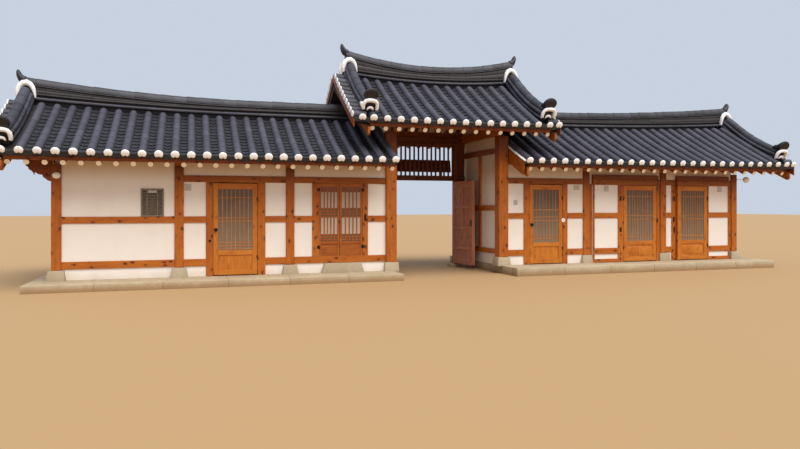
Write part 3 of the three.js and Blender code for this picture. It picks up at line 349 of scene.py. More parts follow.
def outline_board(bm, outline, thickness, along, ease=0.004):
    """A board sawn to an outline of points, given its thickness by a vector; its grain runs along."""
    ring = [bm.verts.new(p) for p in outline]
    edges = [bm.edges.new(pair) for pair in zip(ring, ring[1:] + ring[:1])]
    face = bmesh.ops.contextual_create(bm, geom=edges)["faces"][0]
    grown = bmesh.ops.extrude_face_region(bm, geom=[face])["geom"]
    far = [g for g in grown if isinstance(g, bmesh.types.BMVert)]
    bmesh.ops.translate(bm, vec=thickness, verts=far)
    verts = far + list(face.verts)
    faces = list({f for v in verts for f in v.link_faces})
    bmesh.ops.recalc_face_normals(bm, faces=faces)
    rims = [e for f in faces if len(f.verts) > 4 for e in f.edges]
    made = bmesh.ops.bevel(
        bm, geom=rims, offset=ease, segments=1, affect="EDGES", profile=0.5, material=-1, clamp_overlap=True)
    verts = list({v for f in made["faces"] for v in f.verts} | {v for v in verts if v.is_valid})
    lay_grain(bm, verts, along)
    return verts


def lobe(start, end, bulge):
    """Points of a shallow arc from start towards end, which bulges to one side."""
    (a, b), (c, d) = start, end
    length = math.hypot(c - a, d - b)
    points = []
    for t in (0.0, 0.2, 0.4, 0.6, 0.8):
        swell = bulge * math.sin(math.pi * t)
        points.append((a + (c - a) * t - (d - b) / length * swell, b + (d - b) * t + (c - a) / length * swell))
    return points


def corner_bracket(bm, y, floor):
    """A cloud-scalloped bracket under the left end of the wall plate."""
    cusps = ((0.0, 2.055), (0.116, 2.112), (0.170, 2.190), (0.300, 2.236), (0.370, 2.266),
             (0.430, 2.345), (0.480, 2.410))
    low = [point for a, b in zip(cusps, cusps[1:]) for point in lobe(a, b, -0.018)]
    outline = [(0.0, 2.546), *low, (0.480, 2.410), (0.495, 2.546)]
    points = [(-INSIDE - u, y - 0.053, floor + z) for u, z in outline]
    outline_board(bm, points, (0, 0.106, 0), (1, 0, 0), ease=0.005)


LEFT_JAMBS = ((2.959, 3.107), (4.071, 4.244))
WINDOW_JAMBS = ((5.309, 5.465), (6.502, 6.631))
DOOR_ONE_JAMBS = ((10.744, 10.905), (11.867, 12.015))


def left_front():
    bm = start_piece()
    floor = LEFT_FLOOR
    wall_end = GATE_LEFT - AT_GATE
    for x in POSTS[:3]:
        post(bm, x, 0.0, floor)
    for level in (SILL, MID_RAIL):
        rail(bm, (INSIDE, POSTS[1] - INSIDE), floor, level)
        rail(bm, (POSTS[1] + INSIDE, LEFT_JAMBS[0][0] + LET_IN), floor, level)
        rail(bm, (LEFT_JAMBS[1][1] - LET_IN, POSTS[2] - INSIDE), floor, level)
    rail(bm, (POSTS[2] + INSIDE, WINDOW_JAMBS[0][0] + LET_IN), floor, MID_RAIL)
    rail(bm, (WINDOW_JAMBS[1][1] - LET_IN, wall_end), floor, MID_RAIL)
    rail(bm, (POSTS[2] + INSIDE, wall_end), floor, SILL)
    rail(bm, (POSTS[1] + INSIDE, POSTS[2] - INSIDE), floor, LINTEL)
    rail(bm, (POSTS[2] + INSIDE, wall_end), floor, LINTEL)
    for x in LEFT_JAMBS:
        jamb(bm, x, floor)
    for x in WINDOW_JAMBS:
        jamb(bm, x, floor, SILL[1] - 0.001)
    corner_bracket(bm, 0.0, floor)
    nodes = [f"left_bay_{k}_frame" for k in (1, 2, 3)]
    finish_piece("left_front_timbers", bm, [pine], stands_for=nodes)


PORCH_FACE = -0.140
PORCH_BACK = -0.112
PORCH_PANELS = ((12.770, 13.540), (16.482, 17.197))
PORCHES = ((12.752, 14.825), (15.434, 17.215))
PORCH_HEAD = (2.060, 2.205)


def right_front():
    """The doors of the two outer bays stand forward of the posts in box frames of planks."""
    bm = start_piece()
    floor = RIGHT_FLOOR
    for x in POSTS[5:]:
        post(bm, x, 0.0, floor)
    for x in DOOR_ONE_JAMBS:
        jamb(bm, x, floor)
    for level in (SILL, MID_RAIL):
        rail(bm, (GATE_RIGHT + AT_GATE, DOOR_ONE_JAMBS[0][0] + LET_IN), floor, level)
        rail(bm, (DOOR_ONE_JAMBS[1][1] - LET_IN, POSTS[5] - INSIDE), floor, level)
        rail(bm, (POSTS[6] + INSIDE, 15.304), floor, level)
        for x in PORCH_PANELS:
            timber(bm, x, (PORCH_FACE, PORCH_BACK), lifted(floor, level))
    for x in (
        (GATE_RIGHT + AT_GATE, POSTS[5] - INSIDE), (14.805, POSTS[6] - INSIDE),
        (POSTS[6] + INSIDE, 15.450), (17.195, POSTS[7] - INSIDE),
    ):
        rail(bm, x, floor, LINTEL)
    rail(bm, (15.300, 15.430), floor, (0.001, LINTEL[0] + 0.010))
    head = lifted(floor, PORCH_HEAD)
    for x in PORCHES:
        timber(bm, x, (PORCH_FACE, -WALL_HALF), head)
        timber(bm, x, (PORCH_FACE + 0.010, -WALL_HALF), (head[1], floor + 2.330))
    for x, y, ease in (
        ((12.752, 12.797), (PORCH_FACE + 0.001, PORCH_BACK), 0.006),
        ((13.521, 13.686), (PORCH_FACE - 0.001, -WALL_HALF), 0.006),
        ((14.737, 14.825), (PORCH_FACE - 0.001, -WALL_HALF), 0.006),
        ((15.434, 15.450), (PORCH_FACE - 0.001, -WALL_HALF), 0.003),
        ((16.454, 16.500), (PORCH_FACE - 0.001, -WALL_HALF), 0.006),
        ((17.185, 17.215), (PORCH_FACE + 0.001, PORCH_BACK), 0.006),
    ):
        timber(bm, x, y, (floor + 0.001, head[0] + 0.001), ease=ease)
    for x in PORCH_PANELS:
        timber(bm, x, (PORCH_FACE + 0.002, PORCH_BACK), (floor + 0.001, floor + 0.095))
    # Cover boards close the gaps between the plank frames and the posts
    for x in ((POSTS[5] + INSIDE, 12.756), (14.821, POSTS[6] - INSIDE), (17.211, POSTS[7] - INSIDE)):
        timber(bm, x, (-0.064, -WALL_HALF), (floor + 0.001, floor + LINTEL[0] + 0.010), ease=0.003)
    nodes = [f"right_bay_{k}_frame" for k in (1, 2, 3)]
    finish_piece("right_front_timbers", bm, [pine], stands_for=nodes)


left_front()
right_front()


def rear_frame(name, posts, ends, floor, node):
    bm = start_piece()
    for x in posts:
        post(bm, x, DEPTH, floor)
    between = [x for x in posts if ends[0] < x - 0.1 and x + 0.1 < ends[1]]
    starts = [ends[0]] + [x + INSIDE for x in between]
    stops = [x - INSIDE for x in between] + [ends[1]]
    for level in (SILL, MID_RAIL, LINTEL):
        for x in zip(starts, stops):
            rail(bm, x, floor, level, rear=True)
    if posts[0] == POSTS[0]:
        corner_bracket(bm, DEPTH, floor)
    finish_piece(name, bm, [pine], stands_for=[node])


rear_frame("left_rear_timbers", POSTS[:3], (INSIDE, GATE_LEFT - AT_GATE), LEFT_FLOOR, "left_rear_frame")
rear_frame("right_rear_timbers", POSTS[5:], (GATE_RIGHT + AT_GATE, POSTS[7] - INSIDE), RIGHT_FLOOR,
           "right_rear_frame")


def gable_frame(name, x, outward, floor, strut_top, node):
    bm = start_piece()
    faces = sorted((x + outward * WALL_HALF, x - outward * RAIL_FACE))
    for level in (SILL, MID_RAIL, LINTEL, (POST_TOP + 0.040, 2.620)):
        timber(bm, faces, (POST_HALF, DEPTH - POST_HALF), lifted(floor, level))
    proud = sorted((x + outward * WALL_HALF, x - outward * (RAIL_FACE - 0.004)))
    timber(bm, proud, around(DEPTH / 2, 0.080), (floor + 0.250, strut_top))
    finish_piece(name, bm, [pine], stands_for=[node])


def gate_side(name, x, floor, inward, node):
    """Two tall gate posts with the rails and the stud on the passage side of the plaster."""
    bm = start_piece()
    for y in (0.0, DEPTH):
        timber(bm, around(x, 0.130), around(y, 0.130), (floor + STONE_TOP, 3.470), ease=0.012)
    wall = x + inward * WALL_HALF
    for level in ((0.480, 0.600), (1.580, 1.720), (3.040, 3.180)):
        timber(bm, sorted((wall, x + inward * 0.098)), (0.126, 2.374), level)
    for level in ((0.596, 1.584), (1.716, 3.044)):
        timber(bm, sorted((wall, x + inward * 0.100)), (1.080, 1.190), level)
    finish_piece(name, bm, [gate_pine], stands_for=[node])


gate_side("gate_posts_left", GATE_LEFT, LEFT_FLOOR, 1, "gate_side_frame_left")
gate_side("gate_posts_right", GATE_RIGHT, RIGHT_FLOOR, -1, "gate_side_frame_right")

# Plaster walls
# Lime plaster on a framed wall, trowelled flat and limewashed warm white.
# It shows faint clouds from the trowel, rain splash at the foot, and painted shade under the eaves.


def lime_plaster():
    """Trowelled lime plaster: matt, nearly white, with faint clouds 0.2 to 0.5 m across."""
    finish, shader = new_finish("lime_plaster", "F1E8DE", 0.88, ior=1.45)
    place = add(shader, "TexCoord").outputs["Object"]
    clouds = add(shader, "TexNoise", {"Vector": place, "Scale": 2.2, "Detail": 5.0, "Roughness": 0.6})
    clouded = stain(shader, "F1E8DE", "E6DACB", clouds, 0.45, 0.75, most=0.35)
    # Rain leaves upright trails about 50 mm wide
    stretched = add(shader, "VectorMath", {0: place, 1: (11.0, 11.0, 0.8)}, operation="MULTIPLY")
    trails = add(shader, "TexNoise", {"Vector": stretched, "Scale": 1.0, "Detail": 3.0})
    trailed = stain(shader, clouded, "CDBFA9", trails, 0.62, 0.82, most=0.16)
    height = add(shader, "SeparateXYZ", {"Vector": place}).outputs["Z"]
    level = add(shader, "Math", {0: clouds, 1: -0.25, 2: height}, operation="MULTIPLY_ADD")
    splashed = stain(shader, trailed, "C9B492", level, 0.0, 0.16, most=0.0, least=0.40)
    # The top 0.4 m, behind the rafter ends, is darkened to brown as painted shade of the eave
    eave_painted_shade = stain(shader, splashed, "A27850", height, 2.22, 2.62, most=0.50)
    # Trowel marks are a few centimetres long, and the sand in the lime about 2 mm
    trowel = add(shader, "TexNoise", {"Vector": place, "Scale": 26.0, "Detail": 6.0, "Roughness": 0.7})
    relief = add(shader, "Bump", {"Height": trowel, "Strength": 0.20, "Distance": 0.004})
    feed(shader, {"Base Color": eave_painted_shade, "Normal": relief})
    return finish


plaster = lime_plaster()


def cover_node(name, finish):
    """Gives a CAD node that stays its own finish."""
    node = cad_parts[name]
    node.data.materials.clear()
    node.data.materials.append(finish)


for side in ("left", "right"):
    for wall in (f"{side}_wall_1", f"{side}_wall_2", f"{side}_wall_3", f"gate_side_wall_{side}",
                 f"{side}_gable_wall", f"{side}_rear_wall"):
        cover_node(wall, plaster)

# Vent, lamps and small plates
# A louvred vent of bronze-grey sheet metal stands on the middle rail of the first bay.
# Round lamps with opal covers hang at the outer corners, and blank plates are fixed by the doors.


def worn_metal(name, colour, light, roughness, metallic):
    """Painted or patinated sheet metal: mottled over 20 to 60 mm, with rubbed paler spots."""
    finish, shader = new_finish(name, colour, roughness, metallic=metallic)
    place = add(shader, "TexCoord").outputs["Object"]
    mottle = add(shader, "TexNoise", {"Vector": place, "Scale": 32.0, "Detail": 5.0})
    polish = add(shader, "MapRange", {"Value": mottle, "To Min": roughness - 0.12, "To Max": roughness + 0.15})
    feed(shader, {"Base Color": stain(shader, colour, light, mottle, 0.4, 0.75), "Roughness": polish})
    return finish


def round_bar(bm, start, end, radius, sides, finish=0, cap_finish=None):
    """A round bar between two points; its ends may have a finish of their own."""
    start, end = Vector(start), Vector(end)
    along = end - start
    turn = along.to_track_quat("Z", "Y").to_matrix().to_4x4()
    verts = bmesh.ops.create_cone(
        bm, cap_ends=True, segments=sides, radius1=radius, radius2=radius, depth=along.length,
        matrix=Matrix.Translation((start + end) / 2) @ turn)["verts"]
    paint(verts, finish)
    for face in {f for v in verts for f in v.link_faces if cap_finish and len(f.verts) > 4}:
        face.material_index = cap_finish
    return verts


vent_metal = worn_metal("bronze_grey_sheet", "796A5A", "9A8C7A", 0.50, 0.30)
plate_metal = worn_metal("brushed_plate", "B4AA9C", "CFC6B8", 0.40, 0.30)


def wall_vent():
    """A rim of four strips, a back sheet, nine slanting blades under two bars, and four screws."""
    bm = start_piece()
    x0, x1, z0, z1 = 1.624, 2.088, 1.4709, 2.070
    face = -0.072
    rim = 0.034
    inner_x = (x0 + rim, x1 - rim)
    inner_z = (z0 + rim, z1 - rim)
    for x, z in (((x0, x1), (z0, z0 + rim)), ((x0, x1), (z1 - rim, z1)),
                 ((x0, x0 + rim), inner_z), ((x1 - rim, x1), inner_z)):
        shade_all(bm, bevelled_box(bm, x, (face, 0.040), z, 0.003))
    bevelled_box(bm, inner_x, (-0.030, 0.030), inner_z, 0.002)
    for low, high in runs(*inner_z, (inner_z[1] - inner_z[0]) / 9):
        verts = bevelled_box(bm, inner_x, (-0.022, 0.022), (-0.002, 0.002), 0.001)
        tilt = Matrix.Translation((0, -0.048, (low + high) / 2)) @ Matrix.Rotation(math.radians(42), 4, "X")
        bmesh.ops.transform(bm, matrix=tilt, verts=verts)
    for share in (0.27, 0.73):
        bevelled_box(bm, around(x0 + (x1 - x0) * share, 0.010), (face + 0.002, face + 0.007), inner_z, 0.0015)
    for x in (x0 + 0.017, x1 - 0.017):
        for z in (z0 + 0.017, z1 - 0.017):
            round_bar(bm, (x, face + 0.001, z), (x, face - 0.004, z), 0.006, 8)
    finish_piece("wall_vent_grille", bm, [vent_metal], stands_for=["wall_vent"], crease=35)
    bm = start_piece()
    middle = around((x0 + x1) / 2, 0.085)
    bevelled_box(bm, middle, (face + 0.001, face + 0.004), (z1 - 0.092, z1 - 0.040), 0.001)
    finish_piece("wall_vent_plate", bm, [plate_metal])


wall_vent()


def weathered(name, clean, dirt, roughness, ior, scale, share, low=0.5):
    """A pale finish with dirt in soft spots; gives the material, its shader and the spots."""
    finish, shader = new_finish(name, clean, roughness, ior)
    place = add(shader, "TexCoord").outputs["Object"]
    spots = add(shader, "TexNoise", {"Vector": place, "Scale": scale, "Detail": 4.0})
    feed(shader, {"Base Color": stain(shader, clean, dirt, spots, low, 0.8, most=share)})
    return finish, shader, spots


# Moulded opal acrylic glows softly, and dust lies on it in faint clouds 30 mm across
opal, opal_shader, _ = weathered("opal_acrylic", "FEFAF0", "E2D8C6", 0.30, 1.49, 30.0, 0.4)
feed(opal_shader, {"Subsurface Weight": 0.25, "Subsurface Radius": (0.02, 0.02, 0.015)})


def turned(bm, profile, steps, place):
    """A shape turned from a profile of radii and heights, then laid in place; gives its faces."""
    old = set(bm.verts)
    verts = [bm.verts.new((r, 0, h)) for r, h in profile]
    edges = [bm.edges.new(pair) for pair in zip(verts, verts[1:])]
    bmesh.ops.spin(
        bm, geom=verts + edges, cent=(0, 0, 0), axis=(0, 0, 1), angle=2 * math.pi, steps=steps, use_merge=True)
    bmesh.ops.remove_doubles(bm, verts=[v for v in bm.verts if v not in old], dist=1e-5)
    made = [v for v in bm.verts if v not in old]
    bmesh.ops.transform(bm, matrix=place, verts=made)
    faces = list({f for v in made for f in v.link_faces})
    bmesh.ops.recalc_face_normals(bm, faces=faces)
    return faces


# A turned shape's axis is laid towards the yard
TO_YARD = Matrix.Rotation(math.radians(90), 4, "X")


def wall_lamp(name, x, back, z, wide, tall, node, arm=0.0):
    """A dome turned about its axis: a metal ring at the back and an opal cover, perhaps on an arm."""
    bm = start_piece()
    profile = ((0.0, 0.0), (0.084, 0.0), (0.084, 0.018), (0.078, 0.024), (0.076, 0.030), (0.070, 0.048),
               (0.056, 0.064), (0.034, 0.075), (0.0, 0.080))
    place = Matrix.Translation((x, back, z)) @ Matrix.Diagonal((wide, 1, tall, 1)) @ TO_YARD
    for face in turned(bm, profile, 28, place):
        face.material_index = 1 if face.calc_center_median().y > back - 0.0235 else 0
    if arm:
        wall_end = x - arm + 0.0005
        round_bar(bm, (wall_end, back - 0.012, z), (x - 0.070, back - 0.012, z), 0.007, 12, finish=1)
        round_bar(bm, (wall_end, back - 0.012, z), (wall_end + 0.0055, back - 0.012, z), 0.028, 20, finish=1)
    finish_piece(name, bm, [opal, plate_metal], stands_for=[node], crease=30)


wall_lamp("left_lamp_cover", 0.010, -0.0953, 2.325, 1.0, 0.84, "left_lamp")
wall_lamp("right_lamp_cover", 17.885, -0.0550, 2.455, 1.25, 1.0, "right_lamp", arm=0.350)


def small_plates():
    """Blank plates of brushed metal by the doors, and a round one on a jamb."""
    bm = start_piece()
    for x, y, z in (
        ((10.460, 10.575), -0.0503, (1.725, 1.850)), ((12.210, 12.390), -0.0503, (2.120, 2.250)),
        ((13.090, 13.235), -0.1123, (2.085, 2.245)), ((16.815, 16.965), -0.1123, (2.095, 2.250)),
        ((2.505, 2.650), -0.0503, (2.030, 2.175)),
    ):
        bevelled_box(bm, x, (y - 0.005, y), z, 0.0015)
    finish_piece("wall_plates", bm, [plate_metal])
    bm = start_piece()
    x, z = 11.885, 1.330
    round_bar(bm, (x, -0.079, z), (x, -0.087, z), 0.052, 24)
    round_bar(bm, (x, -0.086, z), (x, -0.091, z), 0.014, 12, finish=1)
    finish_piece("jamb_disc", bm, [opal, plate_metal], crease=35)


small_plates()

# Room doors
# Framed doors of pine: stiles and rails round glass with a lattice in front, and a panel below.
# They hang on butt hinges of dark bronze, with round knobs or a lever.

door_pine = oiled_pine("oiled_door_pine", "D68628", "A85510", "6A3210", 0.50, 0.30)
lattice_pine = oiled_pine("oiled_lattice_pine", "C8894A", "9A5A24", knots=0.0)
sash_pine = oiled_pine("oiled_sash_pine", "B8661A", "86400C", "4A2008", knots=0.30)
bronze = worn_metal("dark_bronze", "2A2320", "4A3A2E", 0.38, 0.80)
brass = worn_metal("worn_brass", "B98A4E", "DDBB85", 0.32, 0.85)


def dim_glass(name, low_tone, high_tone):
    """Obscured glass over a dim room: a smooth sheet that mirrors a little of the yard."""
    finish, shader = new_finish(name, low_tone, 0.30, ior=1.52)
    place = add(shader, "TexCoord").outputs["Object"]
    cloud = add(shader, "TexNoise", {"Vector": place, "Scale": 1.8, "Detail": 3.0})
    height = add(shader, "SeparateXYZ", {"Vector": place}).outputs["Z"]
    rise = add(shader, "MapRange", {"Value": height, "From Min": 0.7, "From Max": 2.3})
    share = add(shader, "Math", {0: cloud, 1: 0.5, 2: rise}, operation="MULTIPLY_ADD")
    mixed = add(shader, "MixRGB", {"Fac": share, "Color1": low_tone, "Color2": high_tone})
    # The pressed pattern is 6 to 8 mm wide
    wave = add(shader, "TexNoise", {"Vector": place, "Scale": 90.0, "Detail": 1.0})
    relief = add(shader, "Bump", {"Height": wave, "Strength": 0.15, "Distance": 0.002})
    feed(shader, {"Base Color": mixed, "Normal": relief})
    return finish


glass = dim_glass("obscured_glass", "8F7F6C", "5C4C3C")
STILE = 0.105
GLAZED = (0.560, 1.920)
PANEL = (0.130, 0.455)
# Finishes of a door leaf, by their numbers
IRON, HANDLE, LATTICE = 1, 2, 3


def hinges(bm, door, on_frame, finish):
    """One side of a door's two hinges: knuckles, each with its leaf screwed flat."""
    side = door["hinge"]
    x = door["x"][side > 0] + side * 0.003
    y = door["face"] - 0.018
    outward = side if on_frame else -side
    face = door["face"] - (0.004 if on_frame else 0.0)
    for height in (0.350, 1.650):
        z = door["floor"] + height + (0.0 if on_frame else 0.0453)
        round_bar(bm, (x, y, z), (x, y, z + 0.045), 0.0065, 12, finish)
        for near, far, deep, inset in (
            (0.004, 0.022, (face - 0.003, face + 0.001), 0.0), (0.0, 0.007, (y, face), 0.001),
        ):
            wide = sorted((x + outward * near, x + outward * far))
            bevelled_box(bm, wide, deep, (z + inset, z + 0.045 - inset), 0.001, finish=finish)


def knob(bm, x, face, z):
    """A turned knob on a round plate."""
    profile = ((0.0, 0.0), (0.042, 0.0), (0.042, 0.004), (0.034, 0.009), (0.014, 0.011), (0.013, 0.032),
               (0.026, 0.040), (0.034, 0.051), (0.028, 0.061), (0.0, 0.064))
    for made in turned(bm, profile, 20, Matrix.Translation((x, face, z)) @ TO_YARD):
        made.material_index = IRON


def lever(bm, x, face, z, reach):
    """A lever handle on a round plate, its bar pointing towards the glass."""
    round_bar(bm, (x, face, z), (x, face - 0.008, z), 0.026, 18, HANDLE)
    round_bar(bm, (x, face - 0.006, z), (x, face - 0.048, z), 0.009, 12, HANDLE)
    wide = sorted((x - math.copysign(0.010, reach), x + reach))
    bevelled_box(bm, wide, (face - 0.056, face - 0.042), around(z, 0.008), 0.004, 2, HANDLE)


def raised_panel(bm, x, y, z):
    """A fielded panel: a raised middle with clipped corners and sloped edges."""
    front = y[0]
    timber(bm, x, (front + 0.006, y[1]), z, along="z", ease=0.002)
    inset = 0.045
    clip = 0.070
    nick = clip * 0.3
    a, b, c, d = x[0] + inset, x[1] - inset, z[0] + inset, z[1] - inset
    outline = (
        (a + clip, c), (b - clip, c), (b - nick, c + nick), (b, c + clip),
        (b, d - clip), (b - nick, d - nick), (b - clip, d), (a + clip, d),
        (a + nick, d - nick), (a, d - clip), (a, c + clip), (a + nick, c + nick),
    )
    points = [bm.verts.new((u, front + 0.006, w)) for u, w in outline]
    face = bmesh.ops.contextual_create(bm, geom=points)["faces"][0]
    ring = list(face.verts)
    grown = bmesh.ops.extrude_face_region(bm, geom=[face])["geom"]
    top = [g for g in grown if isinstance(g, bmesh.types.BMVert)]
    middle = Vector(((a + b) / 2, 0, (c + d) / 2))
    for vert in top:
        away = Vector((vert.co.x, 0, vert.co.z)) - middle
        vert.co -= away.normalized() * 0.026
        vert.co.y = front - 0.008
    bmesh.ops.recalc_face_normals(bm, faces=list({f for v in top + ring for f in v.link_faces}))
    lay_grain(bm, top + ring, (0, 0, 1))


def lattice(bm, x, z, y, bars, bar_width, cross, finish=0):
    """Upright bars, evenly spaced between two stiles, halved over level ones."""
    pitch = (x[1] - x[0]) / (bars + 1)
    for k in range(bars):
        timber(bm, around(x[0] + pitch * (k + 1), bar_width / 2), y, z, along="z", ease=0.002, finish=finish)
    for level in cross:
        timber(bm, x, (y[0] + 0.001, y[1]), around(level, 0.010), along="x", ease=0.002, finish=finish)


def room_door(door, node):
    floor, face = door["floor"], door["face"]
    back = face + 0.040
    x0, x1 = door["x"]
    z0, z1 = floor + 0.020, floor + 2.050
    inner = (x0 + STILE, x1 - STILE)
    panel = lifted(floor, PANEL)
    opening = lifted(floor, GLAZED)
    bm = start_piece()
    for x in ((x0, inner[0]), (inner[1], x1)):
        timber(bm, x, (face, back), (z0, z1), ease=0.004)
    for level in ((z0, panel[0]), (panel[1], opening[0]), (opening[1], z1)):
        timber(bm, inner, (face + 0.0005, back - 0.0005), level, along="x", ease=0.004)
    if door["lever"]:
        raised_panel(bm, inner, (face + 0.010, back - 0.006), panel)
    else:
        for x in runs(*inner, (inner[1] - inner[0]) / 4):
            timber(bm, x, (face + 0.018, back - 0.008), panel, along="z", ease=0.0015)
    for x in ((inner[0], inner[0] + 0.012), (inner[1] - 0.012, inner[1])):
        timber(bm, x, (face + 0.003, face + 0.014), panel, along="z", ease=0.003)
    cross = [floor + z for z in door["cross"]]
    for depth in ((face + 0.005, face + 0.0165), (face + 0.0235, face + 0.035)):
        lattice(bm, inner, opening, depth, door["bars"], door["bar"], cross, LATTICE)
    hinges(bm, door, False, IRON)
    free = x0 + 0.055 if door["hinge"] > 0 else x1 - 0.055
    if door["lever"]:
        lever(bm, free, face, floor + 1.200, door["hinge"] * 0.125)
    else:
        knob(bm, free, face, floor + 1.020)
    finish_piece(f"{node}_leaf", bm, [door_pine, bronze, brass, lattice_pine],
                 body=node, stands_for=[node], crease=35)
    bm = start_piece()
    wide, tall = ((a - 0.002, b + 0.002) for a, b in (inner, opening))
    bevelled_box(bm, wide, (face + 0.0165, face + 0.0235), tall, 0.001)
    finish_piece(f"{node}_glass", bm, [glass], body=node)


# Doors set back in the wall have a boarded panel and a knob, those of the plank frames a fielded
# panel and a lever; hinge is the side they hang on
WALL_DOOR = {"hinge": 1, "face": -0.074, "lever": False, "bars": 7}
PORCH_DOOR = {
    "face": PORCH_FACE + 0.004, "floor": RIGHT_FLOOR, "lever": True, "bars": 9, "bar": 0.017,
    "cross": (0.674, 1.142, 1.244, 1.758),
}
DOORS = {
    "left_room_door": WALL_DOOR | {
        "x": (3.113, 4.065), "floor": LEFT_FLOOR, "bar": 0.022,
        "cross": (0.590, 0.655, 0.730, 1.208, 1.280, 1.734)},
    "right_room_door_1": WALL_DOOR | {
        "x": (10.911, 11.861), "floor": RIGHT_FLOOR, "bar": 0.016,
        "cross": (0.660, 0.715, 1.125, 1.215, 1.400)},
    "right_room_door_2": PORCH_DOOR | {"x": (13.692, 14.731), "hinge": -1},
    "right_room_door_3": PORCH_DOOR | {"x": (15.456, 16.448), "hinge": 1},
}
for node, door in DOORS.items():
    room_door(door, node)


def frame_ironwork():
    """The hinge leaves on the jambs, lock plates, and old bolts' dark plates on the studs."""
    bm = start_piece()
    for door in DOORS.values():
        hinges(bm, door, True, 0)
    for x, z, face, thick in (
        ((14.745, 14.785), (1.250, 1.370), PORCH_FACE, 0.006),
        ((15.335, 15.390), (1.260, 1.400), RAIL_FACE, 0.006),
        ((13.560, 13.625), (1.840, 1.960), PORCH_FACE, 0.007),
        ((15.345, 15.400), (1.840, 1.960), RAIL_FACE, 0.006),
        ((13.560, 13.625), (1.010, 1.130), PORCH_FACE, 0.007),
        ((15.345, 15.400), (1.010, 1.130), RAIL_FACE, 0.006),
    ):
        bevelled_box(bm, x, (face - thick, face), z, 0.002)
    round_bar(bm, (3.040, RAIL_FACE, 0.930), (3.040, RAIL_FACE - 0.010, 0.930), 0.028, 18)
    finish_piece("frame_ironwork", bm, [bronze], crease=35)


frame_ironwork()

# Lattice window
# Two narrow casements with a dense lattice over white paper and a solid panel at the foot.
# They are drawn shut, as in the photograph, on small iron hinges.

window_paper = dim_glass("papered_glass", "C9B8A4", "AC9A86")
dark_band_pane = dim_glass("dark_dim_pane", "7A5A40", "5E4430")


def casement(name, x, hinge_side):
    bm = start_piece()
    foot, head = LEFT_FLOOR + 0.3853, LEFT_FLOOR + 2.067
    face, back = -0.064, -0.026
    inner = (x[0] + 0.050, x[1] - 0.050)
    for side in ((x[0], inner[0]), (inner[1], x[1])):
        timber(bm, side, (face, back), (foot, head), ease=0.003)
    opening = (foot + 0.340, head - 0.085)
    for level in ((foot, foot + 0.050), (foot + 0.280, opening[0]), (opening[1], head)):
        timber(bm, inner, (face + 0.0005, back - 0.0005), level, along="x", ease=0.003)
    timber(bm, inner, (face + 0.020, back - 0.006), (foot + 0.050, foot + 0.280), along="x", ease=0.002)
    cross = [foot + z for z in (0.375, 0.437, 0.500, 0.905, 0.972, 1.040, 1.107, 1.495, 1.555)]
    lattice(bm, inner, opening, (face + 0.006, face + 0.018), 4, 0.026, cross)
    at = x[0] - 0.002 if hinge_side < 0 else x[1] + 0.002
    on_jamb = (RAIL_FACE - 0.004, RAIL_FACE + 0.001)
    for z in (foot + 0.170, foot + 1.500):
        round_bar(bm, (at, RAIL_FACE - 0.006, z), (at, RAIL_FACE - 0.006, z + 0.080), 0.011, 10, finish=1)
        for reach, deep, inset in (
            (0.045, on_jamb, 0.006), (-0.030, (face - 0.004, face + 0.001), 0.010),
            (-0.006, (RAIL_FACE - 0.004, face), 0.012),
        ):
            wide = sorted((at, at + hinge_side * reach))
            bevelled_box(bm, wide, deep, (z + inset, z + 0.080 - inset), 0.001, finish=1)
    finish_piece(name + "_sash", bm, [sash_pine, bronze], stands_for=[name], crease=35)
    # Papered panes alternate with darker ones, which lie behind the close groups of level bars
    bm = start_piece()
    stops = [opening[0] - 0.002, foot + 0.508, foot + 0.897, foot + 1.115, foot + 1.487, opening[1] + 0.002]
    for k, level in enumerate(zip(stops, stops[1:])):
        wide = (inner[0] - 0.002, inner[1] + 0.002)
        bevelled_box(bm, wide, (face + 0.018, face + 0.024), level, 0.0005, finish=1 - k % 2)
    finish_piece(name + "_paper", bm, [window_paper, dark_band_pane])


casement("window_casement_left", (5.4653, 5.948), -1)
casement("window_casement_right", (5.954, 6.5017), 1)


def window_lock():
    bm = start_piece()
    bevelled_box(bm, (6.540, 6.592), (RAIL_FACE - 0.008, RAIL_FACE), (1.345, 1.505), 0.004, 2)
    round_bar(bm, (5.951, -0.064, 1.330), (5.951, -0.086, 1.330), 0.012, 12)
    finish_piece("window_lock", bm, [bronze], crease=35)


window_lock()

# Gate
# A heavy frame of dark pine, darkened further as painted shade under the gate roof, holds an open transom of
# upright bars over two framed and boarded leaves. Each leaf turns on pins in a foot stone and in a bracket on
# the head beam.

# The leaves' pine is faded pale, and made paler still as painted light for the sky light that reaches them from
# the street
leaf_pine = oiled_pine("weathered_leaf_pine_painted_light", "C6835E", "96593E", "5A3422", 0.62, 0.35)
# Dark pine, darkened further as painted shade under the gate roof
dark_pine = oiled_pine("dark_pine_painted_shade", "7A3A16", "3E1706", "1A0803", 0.60, 0.8)
FRAME_Y = (2.112, 2.230)
HEAD = (2.410, 2.550)
TRANSOM_TOP = (3.350, 3.468)
OPENING_HALF = 1.035
PIVOT = OPENING_HALF + 0.010


